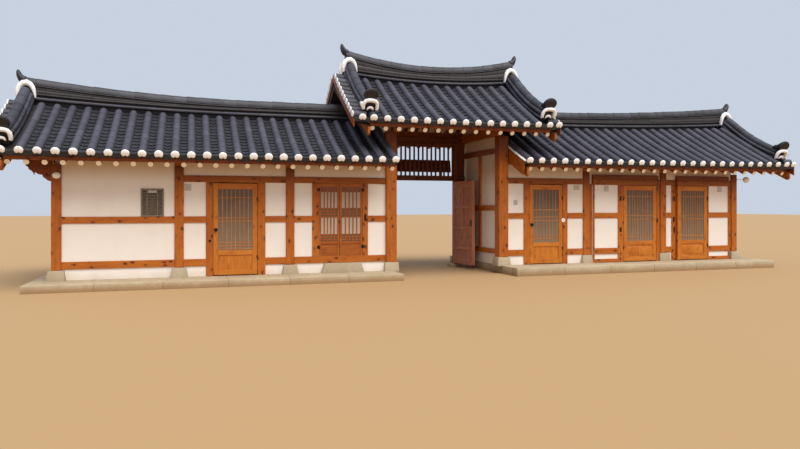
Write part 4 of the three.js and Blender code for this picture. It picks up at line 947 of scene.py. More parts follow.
def gate_frame():
    bm = start_piece()
    front, back = FRAME_Y
    x = (GATE_LEFT + 0.0983, GATE_RIGHT - 0.0983)
    for level in (HEAD, TRANSOM_TOP):
        timber(bm, x, FRAME_Y, level, ease=0.008)
    timber(bm, (7.3733, 9.9767), (front + 0.025, back - 0.025), (3.458, 3.630), along="x")
    for side in (-1, 1):
        inner = GATE_MIDDLE + side * OPENING_HALF
        outer = inner + side * 0.150
        upright = (0.0855, TRANSOM_TOP[1])
        timber(bm, sorted((inner, outer)), (front - 0.001, back + 0.001), upright, ease=0.008)
        infill = sorted((outer - side * 0.005, x[side > 0]))
        timber(bm, infill, (front + 0.040, back - 0.040), (0.145, 3.460))
        # The bracket of the upper pin has two cheeks and a front
        pivot = GATE_MIDDLE + side * PIVOT
        for cheek in ((pivot - 0.070, pivot - 0.021), (pivot + 0.021, pivot + 0.070)):
            timber(bm, cheek, (front - 0.110, front + 0.010), (HEAD[0] + 0.005, HEAD[1] - 0.020), along="y")
        level = (HEAD[0] + 0.006, HEAD[1] - 0.021)
        timber(bm, around(pivot, 0.030), (front - 0.110, front - 0.073), level, along="x")
    for k in range(-8, 9):
        bar = around(GATE_MIDDLE + k * 0.127, 0.022)
        timber(bm, bar, (front + 0.035, front + 0.075), (HEAD[1] - 0.010, TRANSOM_TOP[0] + 0.010), ease=0.004)
    finish_piece("gate_frame_timbers", bm, [dark_pine], stands_for=["gate_door_frame"])


gate_frame()


def gate_leaf(side, node):
    """Boards behind a frame of stiles and rails; the upper panels are split by a middle stile."""
    bm = start_piece()
    foot, head = 0.105, 2.385
    tall = (foot, head)
    reach, heel = OPENING_HALF + 0.005, 0.030
    start, stop = (-heel, reach) if side < 0 else (-reach, heel)
    for a, b in runs(start, stop, 0.178):
        timber(bm, (a + 0.0008, b - 0.0008), (-0.030, 0.026), tall, along="z", ease=0.003)
    inner = (start + 0.100, stop - 0.100)
    for x in ((start, inner[0]), (inner[1], stop)):
        timber(bm, x, (-0.026, 0.047), tall, along="z", ease=0.005)
    for level in ((0.0, 0.130), (0.400, 0.490), (0.955, 1.045), (1.520, 1.610), (2.110, 2.280)):
        timber(bm, inner, (0.020, 0.046), lifted(foot, level), along="x", ease=0.005)
    middle = around((start + stop) / 2, 0.040)
    for level in ((1.045, 1.520), (1.610, 2.110)):
        timber(bm, middle, (0.020, 0.045), lifted(foot, level), along="z", ease=0.005)
    for low, high in ((foot + 0.005, 0.0453), (head - 0.005, HEAD[1] - 0.050)):
        round_bar(bm, (0, 0, low), (0, 0, high), 0.017, 16, finish=1)
    # A bar handle on its plate, and two straps on the other face
    free = start + 0.060 if side > 0 else stop - 0.060
    pull = foot + 1.140
    bevelled_box(bm, around(free, 0.028), (0.047, 0.051), around(pull, 0.090), 0.002, finish=1)
    for z in (pull - 0.060, pull + 0.060):
        bevelled_box(bm, around(free, 0.008), (0.050, 0.085), around(z, 0.008), 0.003, finish=1)
    bevelled_box(bm, around(free, 0.009), (0.078, 0.092), around(pull, 0.075), 0.004, 2, finish=1)
    for low in (foot + 0.300, foot + 1.950):
        strap = sorted((-side * 0.020, -side * 0.420))
        bevelled_box(bm, strap, (-0.034, -0.029), (low, low + 0.050), 0.002, finish=1)
    turn = Matrix.Rotation(math.radians(side * 97), 4, "Z")
    place = Matrix.Translation((GATE_MIDDLE + side * PIVOT, 2.060, 0)) @ turn
    bmesh.ops.transform(bm, matrix=place, verts=bm.verts)
    finish_piece(f"{node}_boards", bm, [leaf_pine, bronze],
                 body=node, stands_for=[node], crease=35)


gate_leaf(-1, "gate_leaf_left")
gate_leaf(1, "gate_leaf_right")


def gate_board():
    """The bare back of a board that leans over the street from two cleats."""
    bm = start_piece()
    y, z = FRAME_Y[1] + 0.0003, HEAD[1] + 0.110
    x0, x1 = around(GATE_MIDDLE, 1.000)
    planks = []
    for level in ((0.0, 0.172), (0.174, 0.345)):
        planks += timber(bm, (x0 + 0.040, x1 - 0.040), (0.004, 0.034), level, along="x", ease=0.003)
    for x in ((x0, x0 + 0.045), (x1 - 0.045, x1)):
        planks += timber(bm, x, (0.000, 0.040), (0.0, 0.346), along="z", ease=0.004)
    for level in ((0.0, 0.035), (0.311, 0.346)):
        planks += timber(bm, (x0 + 0.045, x1 - 0.045), (0.002, 0.039), level, along="x", ease=0.004)
    lean = Matrix.Translation((0, y, z)) @ Matrix.Rotation(math.atan2(-0.065, 0.340), 4, "X")
    bmesh.ops.transform(bm, matrix=lean, verts=planks)
    for middle in around(GATE_MIDDLE, 0.700):
        timber(bm, around(middle, 0.030), (y, y + 0.040), (HEAD[0] + 0.040, z + 0.020), along="z")
    finish_piece("gate_board_planks", bm, [dark_pine], stands_for=["gate_board"])


gate_board()

# Roof timbers
# Round peeled rafters lie on the wall plates and the ridge purlin, their sawn ends painted cream.
# A fascia board ties their feet, tie beams span the posts, and barge boards close the verges.

EAVE = 0.970
RUN = 2.090
# Pairs hold the left end's value, then the right end's, but slopes are those at the eave and at the
# ridge, and thick is the main ridge's height over the bed with what it gains at a verge
LEFT_ROOF = {
    "name": "left", "x0": -1.110, "x1": 7.120, "low": 3.900, "bed": 2.705, "slopes": (0.45, 0.57),
    "rafter_slope": 0.50, "rise": (0.185, 0.015), "thick": (0.495, 0.135), "verge": (True, False),
    "rafters": (-0.713, 7.005), "columns": (-0.483, 0.3135, 25), "stubs": [-0.797, -1.060],
    "verge_in": (0.315, 0.400), "ridge_end": (0.210, 0.290), "soffit": (-0.800, 7.120),
}
RIGHT_ROOF = {
    "name": "right", "x0": 10.300, "x1": 18.660, "low": 11.000, "bed": 2.765, "slopes": (0.44, 0.56),
    "rafter_slope": 0.49, "rise": (0.005, 0.261), "thick": (0.520, 0.165), "verge": (False, True),
    "rafters": (10.513, 18.385), "columns": (10.425, 0.3185, 25), "stubs": [18.375, 18.620],
    "verge_in": (0.400, 0.400), "ridge_end": (0.290, 0.290), "soffit": (10.300, 18.555),
}
GATE_ROOF = {
    "name": "gate", "x0": 6.090, "x1": 11.260, "low": GATE_MIDDLE, "bed": 3.610, "slopes": (0.50, 0.64),
    "rafter_slope": 0.54, "rise": (0.165, 0.165), "thick": (0.590, 0.190), "verge": (True, True),
    "rafters": (6.531, 10.983), "columns": (6.530, 0.3166, 14), "stubs": [6.270, 10.962, 11.215],
    "verge_in": (0.375, 0.300), "ridge_end": (0.290, 0.195), "soffit": (6.440, 11.155),
}
ROOFS = (LEFT_ROOF, RIGHT_ROOF, GATE_ROOF)
SIDES = ("front", "rear")
RAFTER_RADIUS = 0.054


def end_share(roof, x):
    """How far x is from the roof's lowest point towards an end, with that end's number."""
    left = x < roof["low"]
    span = roof["low"] - roof["x0"] if left else roof["x1"] - roof["low"]
    return abs(x - roof["low"]) / span, 0 if left else 1


def bed(roof, x, u):
    """Height of the tile bed at x, a run u up the slope from the eave edge."""
    share, end = end_share(roof, x)
    first, last = roof["slopes"]
    rise = roof["rise"][end] * share ** 2
    return roof["bed"] + first * u + (last - first) * u * u / (2 * RUN) + rise * (0.2 + 0.8 * u / RUN)


def rafter_axis(roof, y):
    return roof["bed"] - 0.160 + roof["rafter_slope"] * (y + 0.830)


def rafter_top(roof, y):
    return rafter_axis(roof, y) + RAFTER_RADIUS * math.hypot(1, roof["rafter_slope"])


def plate_top(roof, y=-0.080):
    """Where a timber under the rafters ends, whose edge nearer the eave is at y."""
    return rafter_axis(roof, y) - RAFTER_RADIUS * math.hypot(1, roof["rafter_slope"]) - 0.0003


# The eave pine and, darker still, the rafter pine are the oiled pine darkened as painted shade under the eaves
roof_pine = oiled_pine("oiled_eave_pine", "B4661A", "843C06")
rafter_pine = oiled_pine("oiled_rafter_pine", "9A4E14", "6A2C04")
# Brushed paint over end grain lets some wood through, in rings and checks 5 to 10 mm apart
cream_paint = weathered("cream_end_paint", "FCE9D0", "DDB890", 0.6, 1.48, 60.0, 0.5)[0]


def on_side(y, side):
    """A place on the front slope as it is, or turned over to the rear slope."""
    return DEPTH - y if side == "rear" else y


def rafters(roof, side):
    bm = start_piece()
    feet, ends = -0.830, DEPTH / 2 - 0.031
    x0, x1 = roof["rafters"]
    count = round((x1 - x0) / 0.325)
    for k in range(count + 1):
        x = x0 + (x1 - x0) * k / count
        low = Vector((x + random.uniform(-0.004, 0.004), on_side(feet, side), rafter_axis(roof, feet)))
        high = Vector((x, on_side(ends, side), rafter_axis(roof, ends)))
        lay_grain(bm, round_bar(bm, low, high, RAFTER_RADIUS, 16, cap_finish=1), high - low)
    top = roof["bed"] - 0.0353
    y = sorted((on_side(-0.870, side), on_side(-0.8003, side)))
    for a, b in runs(x0 - 0.060, x1 + 0.060, 3.6):
        timber(bm, (a + 0.001, b - 0.001), y, (top - 0.082, top), ease=0.005)
    finish_piece(f"{roof['name']}_rafter_row_{side}", bm, [rafter_pine, cream_paint],
                 stands_for=[f"{roof['name']}_rafters_{side}"], crease=35)


for roof in ROOFS:
    for side in SIDES:
        rafters(roof, side)

BARGE_FOOT = -EAVE + 0.045
BARGE_DEEP = 0.230


def barge_board(bm, roof, x0):
    """A curved board on edge under the verge, cut back at its feet."""
    rise = [BARGE_FOOT + (DEPTH / 2 - BARGE_FOOT) * k / 6 for k in range(7)]
    upper = [(y, rafter_top(roof, y) - 0.0015) for y in rise]
    heel = [(BARGE_FOOT + 0.09, rafter_top(roof, BARGE_FOOT + 0.09) - BARGE_DEEP)]
    heel += [(BARGE_FOOT + 0.035, upper[0][1] - 0.175), (BARGE_FOOT, upper[0][1] - 0.125)]
    half = heel + upper[:-1]
    under_ridge = (DEPTH / 2, rafter_top(roof, DEPTH / 2) - BARGE_DEEP)
    whole = half + [upper[-1]] + [(DEPTH - y, z) for y, z in reversed(half)] + [under_ridge]
    outline_board(bm, [(x0, y, z) for y, z in whole], (0.050, 0, 0), (0, 1, 0.45))


def verge_boards(bm, roof, end):
    """A board nailed over the edge of the tile bed, under the lime ends of the verge tiles."""
    edge = roof["x0"] - 0.0225 if end == 0 else roof["x1"] + 0.0005
    for side in SIDES:
        runs_up = [0.012 + (DEPTH / 2 + EAVE - 0.014) * k / 8 for k in range(9)]
        top = [(u - EAVE, bed(roof, edge, u) - 0.040) for u in runs_up]
        foot = [(y, z - 0.165) for y, z in reversed(top)]
        if roof is not GATE_ROOF:
            foot = [(y, rafter_top(roof, y) - 0.050) for y, _ in (top[-1], top[0])]
        outline = [(edge, on_side(y, side), z) for y, z in top + foot]
        along = (0, 1, -0.5 if side == "rear" else 0.5)
        # The boards take the dark rafter pine, painted shade under the verge tiles
        paint(outline_board(bm, outline, (0.022, 0, 0), along, ease=0.002), 1)


def inner_boards(bm, roof):
    """Where the roof stops beside the gate, boards close its edge in front of the wall and behind."""
    edge = roof["x0"]
    for side in SIDES:
        for x0, thick, top, deep, stop in (
            (edge + 0.080, 0.050, -0.0015, BARGE_DEEP, -0.075), (edge - 0.0155, 0.015, 0.125, 0.330, -0.135),
        ):
            points = [(BARGE_FOOT, top), (BARGE_FOOT, top - deep * 0.70), (BARGE_FOOT + 0.050, top - deep),
                      (stop, top - deep), (stop, top)]
            outline = [(x0, on_side(y, side), rafter_top(roof, y) + h) for y, h in points]
            outline_board(bm, outline, (thick, 0, 0), (0, 1, 0.45), ease=0.003)


def roof_timbers(roof, x, beams, beam_level, beam_half, overhang, barge_at):
    """Wall plates, the ridge purlin, tie beams with a strut on each, and the boards of the verges."""
    bm = start_piece()
    low, high = beam_level
    for y in (0.0, DEPTH):
        for length in runs(*x, 2.7):
            timber(bm, length, around(y, 0.080), (high - 0.070, plate_top(roof)), ease=0.010)
    purlin_top = plate_top(roof, DEPTH / 2 - 0.070)
    timber(bm, x, around(DEPTH / 2, 0.070), (purlin_top - 0.110, purlin_top), ease=0.012)
    for beam in beams:
        timber(bm, around(beam, beam_half), (-overhang, DEPTH + overhang), (low + 0.0003, high), ease=0.014)
        strut = (high - 0.010, purlin_top - 0.100)
        timber(bm, around(beam, beam_half - 0.004), around(DEPTH / 2, 0.080), strut, along="z")
    for at in barge_at:
        barge_board(bm, roof, at)
    for end in (0, 1):
        if roof["verge"][end]:
            verge_boards(bm, roof, end)
    if roof is RIGHT_ROOF:
        inner_boards(bm, roof)
    node = f"{roof['name']}_roof_frame"
    finish_piece(f"{node}_timbers", bm, [roof_pine, rafter_pine], stands_for=[node])


roof_timbers(LEFT_ROOF, (-0.820, GATE_LEFT - 0.1303), POSTS[1:3], (2.550, 2.770), 0.090, 0.070,
             [LEFT_ROOF["x0"] + 0.280])
roof_timbers(RIGHT_ROOF, (GATE_RIGHT + 0.1303, 18.570), POSTS[5:7], (2.600, 2.820), 0.090, 0.070,
             [RIGHT_ROOF["x1"] - 0.130])
roof_timbers(GATE_ROOF, (6.420, 11.170), (7.3103, 10.0397), (3.470, 3.680), 0.060, 0.110,
             [GATE_ROOF["x0"] + 0.320, GATE_ROOF["x1"] - 0.130])

for roof, x, outward, floor in ((LEFT_ROOF, 0.0, -1, LEFT_FLOOR), (RIGHT_ROOF, POSTS[7], 1, RIGHT_FLOOR)):
    strut_top = plate_top(roof, DEPTH / 2 - 0.070) - 0.1103
    gable_frame(f"{roof['name']}_gable_timbers", x, outward, floor, strut_top, f"{roof['name']}_gable_frame")


def tile_bed(roof):
    """Clay and lime under the tiles: dark earth mortar outside, darkened to near black as painted shade, white
    plaster between the rafters.
    """
    finish, shader = new_finish(f"{roof['name']}_tile_bed", "353234", 0.9, ior=1.45)
    place = add(shader, "TexCoord").outputs["Object"]
    clouds = add(shader, "TexNoise", {"Vector": place, "Scale": 3.0, "Detail": 5.0})
    # The mortar is darkened to near black: painted shade under the tiles and the eaves
    mortar = add(shader, "MixRGB", {"Fac": clouds, "Color1": "1E1B1C", "Color2": "2C2828"})
    soffit = add(shader, "MixRGB", {"Fac": clouds, "Color1": "EFE6D8", "Color2": "DCCDB6"})
    facing = add(shader, "SeparateXYZ", {"Vector": add(shader, "NewGeometry").outputs["Normal"]}).outputs["Z"]
    below = add(shader, "MapRange", {
        "Value": facing, "From Min": -0.5, "From Max": -0.3, "To Min": 1.0, "To Max": 0.0})
    spot = add(shader, "SeparateXYZ", {"Vector": place})
    start, stop = (x + SITE[0] for x in roof["soffit"])
    for axis, middle, half in (("X", (start + stop) / 2, (stop - start) / 2), ("Y", 0.0, 2.115)):
        inside = add(shader, "Math", {0: spot.outputs[axis], 1: middle, 2: half}, operation="COMPARE")
        below = add(shader, "Math", {0: below, 1: inside}, operation="MULTIPLY")
    both = add(shader, "MixRGB", {"Fac": below, "Color1": mortar, "Color2": soffit})
    relief = add(shader, "Bump", {"Height": clouds, "Strength": 0.3, "Distance": 0.01})
    feed(shader, {"Base Color": both, "Normal": relief})
    return finish


for roof in ROOFS:
    cover_node(f"{roof['name']}_roof", tile_bed(roof))

# Tile fields
# Fired black clay tiles: concave channel tiles overlap up the slope, and rows of half-round tiles
# cover their joints. White lime mortar plugs the open ends of the rows at the eaves and verges.


def fired_tile(name, dark, light, cloud_tone, cloud_share):
    """Smoke-fired clay: blue-grey, half matt with a carbon sheen, each tile a tone of its own."""
    finish, shader = new_finish(name, dark, 0.52)
    place = add(shader, "TexCoord").outputs["Object"]
    tone = add(shader, "Attribute", attribute_name="shade").outputs["Fac"]
    each = add(shader, "MixRGB", {"Fac": tone, "Color1": dark, "Color2": light})
    # Fired clay is clouded over 50 to 150 mm, with lime dust in spots of 10 to 20 mm
    cloud = add(shader, "TexNoise", {"Vector": place, "Scale": 9.0, "Detail": 5.0, "Roughness": 0.6})
    clouded = stain(shader, each, cloud_tone, cloud, 0.40, 0.75, most=cloud_share)
    dust = add(shader, "TexNoise", {"Vector": place, "Scale": 60.0, "Detail": 3.0})
    dusted = stain(shader, clouded, "77737A", dust, 0.62, 0.78, most=0.24)
    polish = add(shader, "MapRange", {"Value": cloud, "To Min": 0.42, "To Max": 0.68})
    relief = add(shader, "Bump", {"Height": dust, "Strength": 0.3, "Distance": 0.003})
    feed(shader, {"Base Color": dusted, "Roughness": polish, "Normal": relief})
    return finish


black_tile = fired_tile("smoke_fired_tile", "0C0B0E", "474652", "4C4B55", 0.22)

# Hand-pressed lime shows dents of 10 to 30 mm and grey weather stains
white_mortar, mortar_shader, dents = weathered(
    "white_lime_mortar", "FAF8F7", "C9C3BE", 0.85, 1.45, 28.0, 0.45, low=0.45)
feed(mortar_shader, {
    "Normal": add(mortar_shader, "Bump", {"Height": dents, "Strength": 0.5, "Distance": 0.006})})

ROUND_STEP = RUN / 7
CHANNEL_STEP = RUN / 13
HALF_PITCH = 0.157
ROUND_UP = 0.034


def sweep(bm, rings, finish=0, low=0.2, high=1.0):
    """A skin drawn through matching rings of points and closed at both ends."""
    ring = [bm.verts.new(p) for p in rings[0]]
    edges = [bm.edges.new(pair) for pair in zip(ring, ring[1:] + ring[:1])]
    bmesh.ops.contextual_create(bm, geom=edges)
    made = list(ring)
    for points in rings[1:]:
        grown = bmesh.ops.extrude_edge_only(bm, edges=edges)["geom"]
        fresh = {g for g in grown if isinstance(g, bmesh.types.BMVert)}
        ring = [next(e.other_vert(v) for e in v.link_edges if e.other_vert(v) in fresh) for v in ring]
        for vert, point in zip(ring, points):
            vert.co = point
        edges = [bm.edges.get(pair) for pair in zip(ring, ring[1:] + ring[:1])]
        made += ring
    bmesh.ops.contextual_create(bm, geom=edges)
    bmesh.ops.recalc_face_normals(bm, faces=list({f for v in made for f in v.link_faces}))
    paint(made, finish)
    shade_all(bm, made, low, high)
    return made


def trough(x, y, top, rise, bottom, dip):
    """A closed outline across a channel: edges stand higher than the middle, above and below."""
    steps = [k / 3 - 1 for k in range(7)]
    upper = [(HALF_PITCH + t * x, y, top + rise * t * t) for t in steps]
    return upper + [(HALF_PITCH + t * x, y, bottom + dip * t * t) for t in reversed(steps)]


def flat_column(with_channel):
    """One row of round tiles with the channel tiles on its right, laid flat: X across, Y up the
    slope, Z above the bed. Each tile's number is kept in the vertex attribute tile."""
    bm = start_piece()
    number = bm.verts.layers.int.new("tile")
    lay = Matrix.Rotation(math.radians(-90), 4, "X")
    for course in range(7):
        low, high = course * ROUND_STEP + 0.020, (course + 1) * ROUND_STEP + 0.030
        if course == 6:
            high = RUN - 0.080
            bmesh.ops.create_uvsphere(
                bm, u_segments=16, v_segments=6, radius=0.0815,
                matrix=Matrix.Translation((0, high - 0.001, ROUND_UP)) @ lay)
        bmesh.ops.create_cone(
            bm, cap_ends=True, segments=16, radius1=0.0860, radius2=0.0820, depth=high - low,
            matrix=Matrix.Translation((0, (low + high) / 2, ROUND_UP)) @ lay)
        for vert in bm.verts:
            if vert.co.y > low - 0.002 and vert[number] == 0:
                vert[number] = course
    bmesh.ops.bisect_plane(
        bm, geom=[*bm.verts, *bm.edges, *bm.faces], plane_co=(0, 0, -0.004), plane_no=(0, 0, -1),
        clear_outer=True, dist=1e-5)
    if with_channel:
        for course in range(14):
            low = course * CHANNEL_STEP - 0.004
            high = min(low + CHANNEL_STEP + 0.045, RUN)
            foot = trough(0.108, low, 0.026, 0.030, 0.006, 0.030)
            head = trough(0.108, high, 0.004, 0.030, -0.014, 0.030)
            for vert in sweep(bm, [foot, head]):
                vert[number] = 7 + course
        # The eave tile has a drip that hangs over the edge of the bed
        for vert in sweep(bm, [trough(0.116, y, 0.020, 0.032, -0.080, 0.030) for y in (-0.012, 0.002)]):
            vert[number] = 7
    mesh = bpy.data.meshes.new("flat_column")
    bm.to_mesh(mesh)
    bm.free()
    return mesh


def lay_on_roof(roof, x, u, height, side):
    """The place of a point that lies x along the roof, u up its slope and height above the bed."""
    step = 0.01
    slope = (bed(roof, x, u + step) - bed(roof, x, u - step)) / (2 * step)
    run = math.hypot(1, slope)
    y = u - EAVE - height * slope / run
    return Vector((x, on_side(y, side), bed(roof, x, u) + height / run))


plain_column = flat_column(True)
edge_column = flat_column(False)


def add_pattern(bm, pattern, to_place):
    """Adds a copy of a mesh to a bmesh and moves its points; gives the new vertices."""
    before = len(bm.verts)
    bm.from_mesh(pattern)
    bm.verts.ensure_lookup_table()
    fresh = bm.verts[before:]
    for vert in fresh:
        vert.co = to_place(vert.co)
    return fresh


def tile_field(roof, side):
    bm = start_piece()
    number = bm.verts.layers.int.new("tile")
    shade = bm.verts.layers.float["shade"]
    start, pitch, count = roof["columns"]
    for k in range(count):
        pattern = edge_column if k == count - 1 else plain_column
        x = start + pitch * k + random.uniform(-0.004, 0.004)
        tones = [random.random() for _ in range(24)]
        for vert in add_pattern(
            bm, pattern, lambda co: lay_on_roof(roof, x + co.x * pitch / (2 * HALF_PITCH), co.y, co.z, side),
        ):
            # The channel tiles, numbered from 7, take much darker tones than the rows: painted shade between
            # the rows
            tile = vert[number]
            vert[shade] = 0.62 + 0.38 * tones[tile] if tile < 7 else 0.20 * tones[tile]
    if side == "rear":
        bmesh.ops.reverse_faces(bm, faces=bm.faces)
    finish_piece(f"{roof['name']}_tiles_{side}", bm, [black_tile], crease=38)


for roof in ROOFS:
    for side in SIDES:
        tile_field(roof, side)


def mortar_disc(bm, roof, x, side):
    """The lime plug of a row's open end: a bun, flat at the foot, with a dent pressed in below."""
    size = 0.086 * random.uniform(0.97, 1.04)
    flat = Matrix.Rotation(math.radians(90), 4, "X") @ Matrix.Scale(0.30, 4, (0, 0, 1))
    verts = bmesh.ops.create_uvsphere(bm, u_segments=20, v_segments=9, radius=size, matrix=flat)["verts"]
    tilt = random.uniform(-0.03, 0.03)
    for vert in verts:
        across, out, up = vert.co
        if up < 0:
            up = max(up, -0.056) + 0.020 * max(0.0, 1 - abs(across) / 0.026)
        vert.co = lay_on_roof(roof, x + across, out - 0.004 + tilt * up, ROUND_UP - 0.004 + up, side)
    shade_all(bm, verts)


def eave_mortar(roof, side):
    bm = start_piece()
    start, pitch, count = roof["columns"]
    for x in [start + pitch * k for k in range(count)] + roof["stubs"]:
        mortar_disc(bm, roof, x, side)
    bmesh.ops.recalc_face_normals(bm, faces=bm.faces)
    finish_piece(f"{roof['name']}_eave_mortar_{side}", bm, [white_mortar], crease=60)


for roof in ROOFS:
    for side in SIDES:
        eave_mortar(roof, side)

# Ridges
# Flat tiles bedded in courses under a row of large half-round caps make the main ridge, which
# climbs to a curled horn at each verge. Lower ridges run down beside the verges to a hooded end.


def both_sides(half):
    """A closed outline from the points of its right half, listed from the top down."""
    return half + [(-s, h) for s, h in reversed(half)]


def cap_arc(radius, height):
    """The right half of a cap's outline, from just beside its crown down to its foot."""
    turns = [math.pi / 2 * (k + 0.5) / 6.5 for k in range(7)]
    return [(radius * math.sin(t), height * (math.cos(t) - 1)) for t in turns]


def oval(half, low, high, count):
    """Points of an upright oval, as distances across and heights."""
    turns = [2 * math.pi * (k + 0.5) / count for k in range(count)]
    return [(half * math.sin(t), (high + low) / 2 + (high - low) / 2 * math.cos(t)) for t in turns]


# The hooded end tiles came out of another firing, brown-black, and the flat courses are browner
ridge_tile = fired_tile("brown_grey_tile", "151214", "413B3E", "4B4548", 0.35)
brown_tile = fired_tile("brown_black_tile", "110C0C", "1C1516", "2A2223", 0.25)
RIDGE_CAP = 0.150


def ridge_top(roof, x):
    """Height of the caps of the main ridge: the end of a verge stands higher."""
    share, end = end_share(roof, x)
    extra = roof["thick"][1] * share ** 2 if roof["verge"][end] else 0.0
    return bed(roof, x, RUN) + roof["thick"][0] + extra


def slab(half, top, deep):
    foot = top - deep
    return both_sides([(half - 0.004, top), (half, top - 0.006), (half, foot + 0.006), (half - 0.004, foot)])


def ridge_courses(roof, x):
    """Outlines of the main ridge at x as half widths and heights: the cap, the neck behind all
    courses, the rounded course at the foot, and the flat courses from the top down."""
    top = ridge_top(roof, x)
    foot = bed(roof, x, RUN)
    cap = both_sides([(s, top + h) for s, h in cap_arc(0.115, RIDGE_CAP)])
    neck = both_sides([(0.062, top - RIDGE_CAP + 0.01), (0.062, foot - 0.015)])
    low_top = foot + 0.178
    lower = both_sides([(0.112, low_top), (0.138, low_top - 0.010), (0.152, low_top - 0.032),
                        (0.148, low_top - 0.058), (0.130, low_top - 0.070)])
    shelf = top - RIDGE_CAP - 0.018
    ledge = low_top + 0.082
    layer = (shelf - 0.026 - ledge) / 2
    flat = [
        slab(0.128, shelf, 0.022), slab(0.104, shelf - 0.028, layer - 0.003),
        slab(0.116, shelf - 0.028 - layer, layer - 0.003), slab(0.128, ledge - 0.004, 0.034),
    ]
    return cap, neck, lower, flat


def main_ridge(roof, bm):
    left_verge, right_verge = roof["verge"]
    start = roof["x0"] + (roof["ridge_end"][0] + 0.010 if left_verge else 0.0)
    stop = roof["x1"] - (roof["ridge_end"][1] + 0.010 if right_verge else 0.0)

    def ring(outline, x, scale=1.0, raised=0.0):
        return [(x, DEPTH / 2 + s * scale, h + raised) for s, h in outline]

    for a, b in runs(start, stop, 0.29):
        shrink = random.uniform(0.930, 0.955)
        cap_a, _, lower_a, _ = ridge_courses(roof, a)
        cap_b, _, lower_b, _ = ridge_courses(roof, b + 0.012)
        lean = random.uniform(-0.004, 0.004)
        caps = [ring(cap_a, a, raised=lean), ring(cap_b, b + 0.012, shrink, lean - 0.006)]
        sweep(bm, caps, low=0.10, high=0.55)
        sweep(bm, [ring(lower_a, a + 0.001), ring(lower_b, b + 0.008, shrink)], low=0.35, high=0.75)
    for a, b in runs(start, stop, 0.48):
        _, neck_a, _, flat_a = ridge_courses(roof, a)
        _, neck_b, _, flat_b = ridge_courses(roof, b)
        # The neck takes the darkest tone: painted shade in the gap behind the courses
        sweep(bm, [ring(neck_a, a), ring(neck_b, b)], finish=1, low=0.0, high=0.0)
        for one, two in zip(flat_a, flat_b):
            jitter = random.uniform(0.985, 1.02)
            course = [ring(one, a + 0.002, jitter), ring(two, b - 0.002, jitter)]
            sweep(bm, course, finish=2, low=0.30, high=0.60)
    if left_verge:
        horn(roof, bm, start - 0.300, 1)
    if right_verge:
        horn(roof, bm, stop + 0.300, -1)


def horn(roof, bm, edge, inward):
    """The last cap curls up into a tall leaf that faces out of the verge."""
    top = ridge_top(roof, edge + inward * 0.300)
    rings = []
    for run, low, high, half in (
        (0.365, -0.150, 0.004, 0.108), (0.315, -0.150, 0.020, 0.110), (0.275, -0.148, 0.056, 0.110),
        (0.248, -0.140, 0.104, 0.106), (0.228, -0.120, 0.136, 0.100), (0.206, -0.090, 0.150, 0.090),
        (0.188, -0.050, 0.148, 0.076), (0.174, 0.000, 0.128, 0.054),
    ):
        rings.append([(edge + inward * run, DEPTH / 2 + s, top + h) for s, h in oval(half, low, high, 16)])
    sweep(bm, rings, low=0.1, high=0.3)


def verge_x(roof, end):
    return roof["x0"] + roof["verge_in"][0] if end == 0 else roof["x1"] - roof["verge_in"][1]


def verge_lift(roof, x, u):
    """How far the bed beside a verge ridge stands over the bed under its middle."""
    return max(bed(roof, x - 0.12, u), bed(roof, x + 0.12, u)) - bed(roof, x, u)


def verge_height(u):
    share = min(u / RUN, 1.0)
    return 0.415 - 0.025 * share - 0.080 * math.sin(math.pi * share)


def tube_side(across, down, radius):
    """The outward half of a round tile's section, from its top to its foot."""
    turns = [math.radians(a) for a in (75, 45, 15, -15, -45, -75)]
    return [(across + radius * math.cos(t), down + radius * math.sin(t)) for t in turns]


VERGE_OUTLINE = both_sides([
    *cap_arc(0.102, 0.096), (0.062, -0.098), (0.062, -0.120), *tube_side(0.106, -0.168, 0.047),
    (0.076, -0.216), (0.076, -0.232), *tube_side(0.122, -0.278, 0.045), (0.090, -0.326), (0.090, -0.440),
])
# The hooded ends stand this far up the slope from the eave
HOOD_BACK = 0.070


def verge_ridge(roof, bm, end, side):
    """Caps and courses down the verge, and the leaf-shaped hood standing on a stack of flat tiles."""
    x = verge_x(roof, end)
    lift = verge_lift(roof, x, 0.0)
    top_lift = verge_lift(roof, x, RUN)

    def ring(u, scale, drop):
        raised = verge_height(u) + lift + (top_lift - lift) * u / RUN - drop
        return [lay_on_roof(roof, x + s * scale, u, raised + h, side) for s, h in VERGE_OUTLINE]

    for a, b in runs(0.190 + HOOD_BACK, RUN + 0.02, 0.33):
        shrink = random.uniform(0.965, 0.980)
        places = enumerate((a, (a + b) / 2, b + 0.012))
        sweep(bm, [ring(u, 1 + (shrink - 1) * k / 2, 0.003 * k) for k, u in places], low=0.30, high=0.75)

    def hood_ring(points, u):
        return [lay_on_roof(roof, x + s, u + HOOD_BACK, h + lift, side) for s, h in points]

    sweep(bm, [hood_ring(oval(half, low, high, 20), u) for u, low, high, half in (
        (0.360, 0.300, 0.424, 0.098), (0.290, 0.310, 0.465, 0.112), (0.230, 0.320, 0.540, 0.138),
        (0.185, 0.330, 0.600, 0.160), (0.150, 0.340, 0.630, 0.170), (0.122, 0.350, 0.632, 0.168),
        (0.102, 0.370, 0.612, 0.152), (0.094, 0.400, 0.570, 0.110),
    )], finish=1)
    for low in (0.060, 0.112, 0.164, 0.216, 0.268, 0.320):
        half = random.uniform(0.105, 0.115)
        brick = [(-half, low), (half, low), (half, low + 0.046), (-half, low + 0.046)]
        sweep(bm, [hood_ring(brick, u) for u in (0.125, 0.230)], finish=1)


def ridges(roof):
    bm = start_piece()
    main_ridge(roof, bm)
    for end in (0, 1):
        if roof["verge"][end]:
            for side in SIDES:
                verge_ridge(roof, bm, end, side)
    name = roof["name"]
    finish_piece(f"{name}_ridge_tiles", bm, [black_tile, brown_tile, ridge_tile],
                 stands_for=[f"{name}_ridge"], crease=38)


for roof in ROOFS:
    ridges(roof)


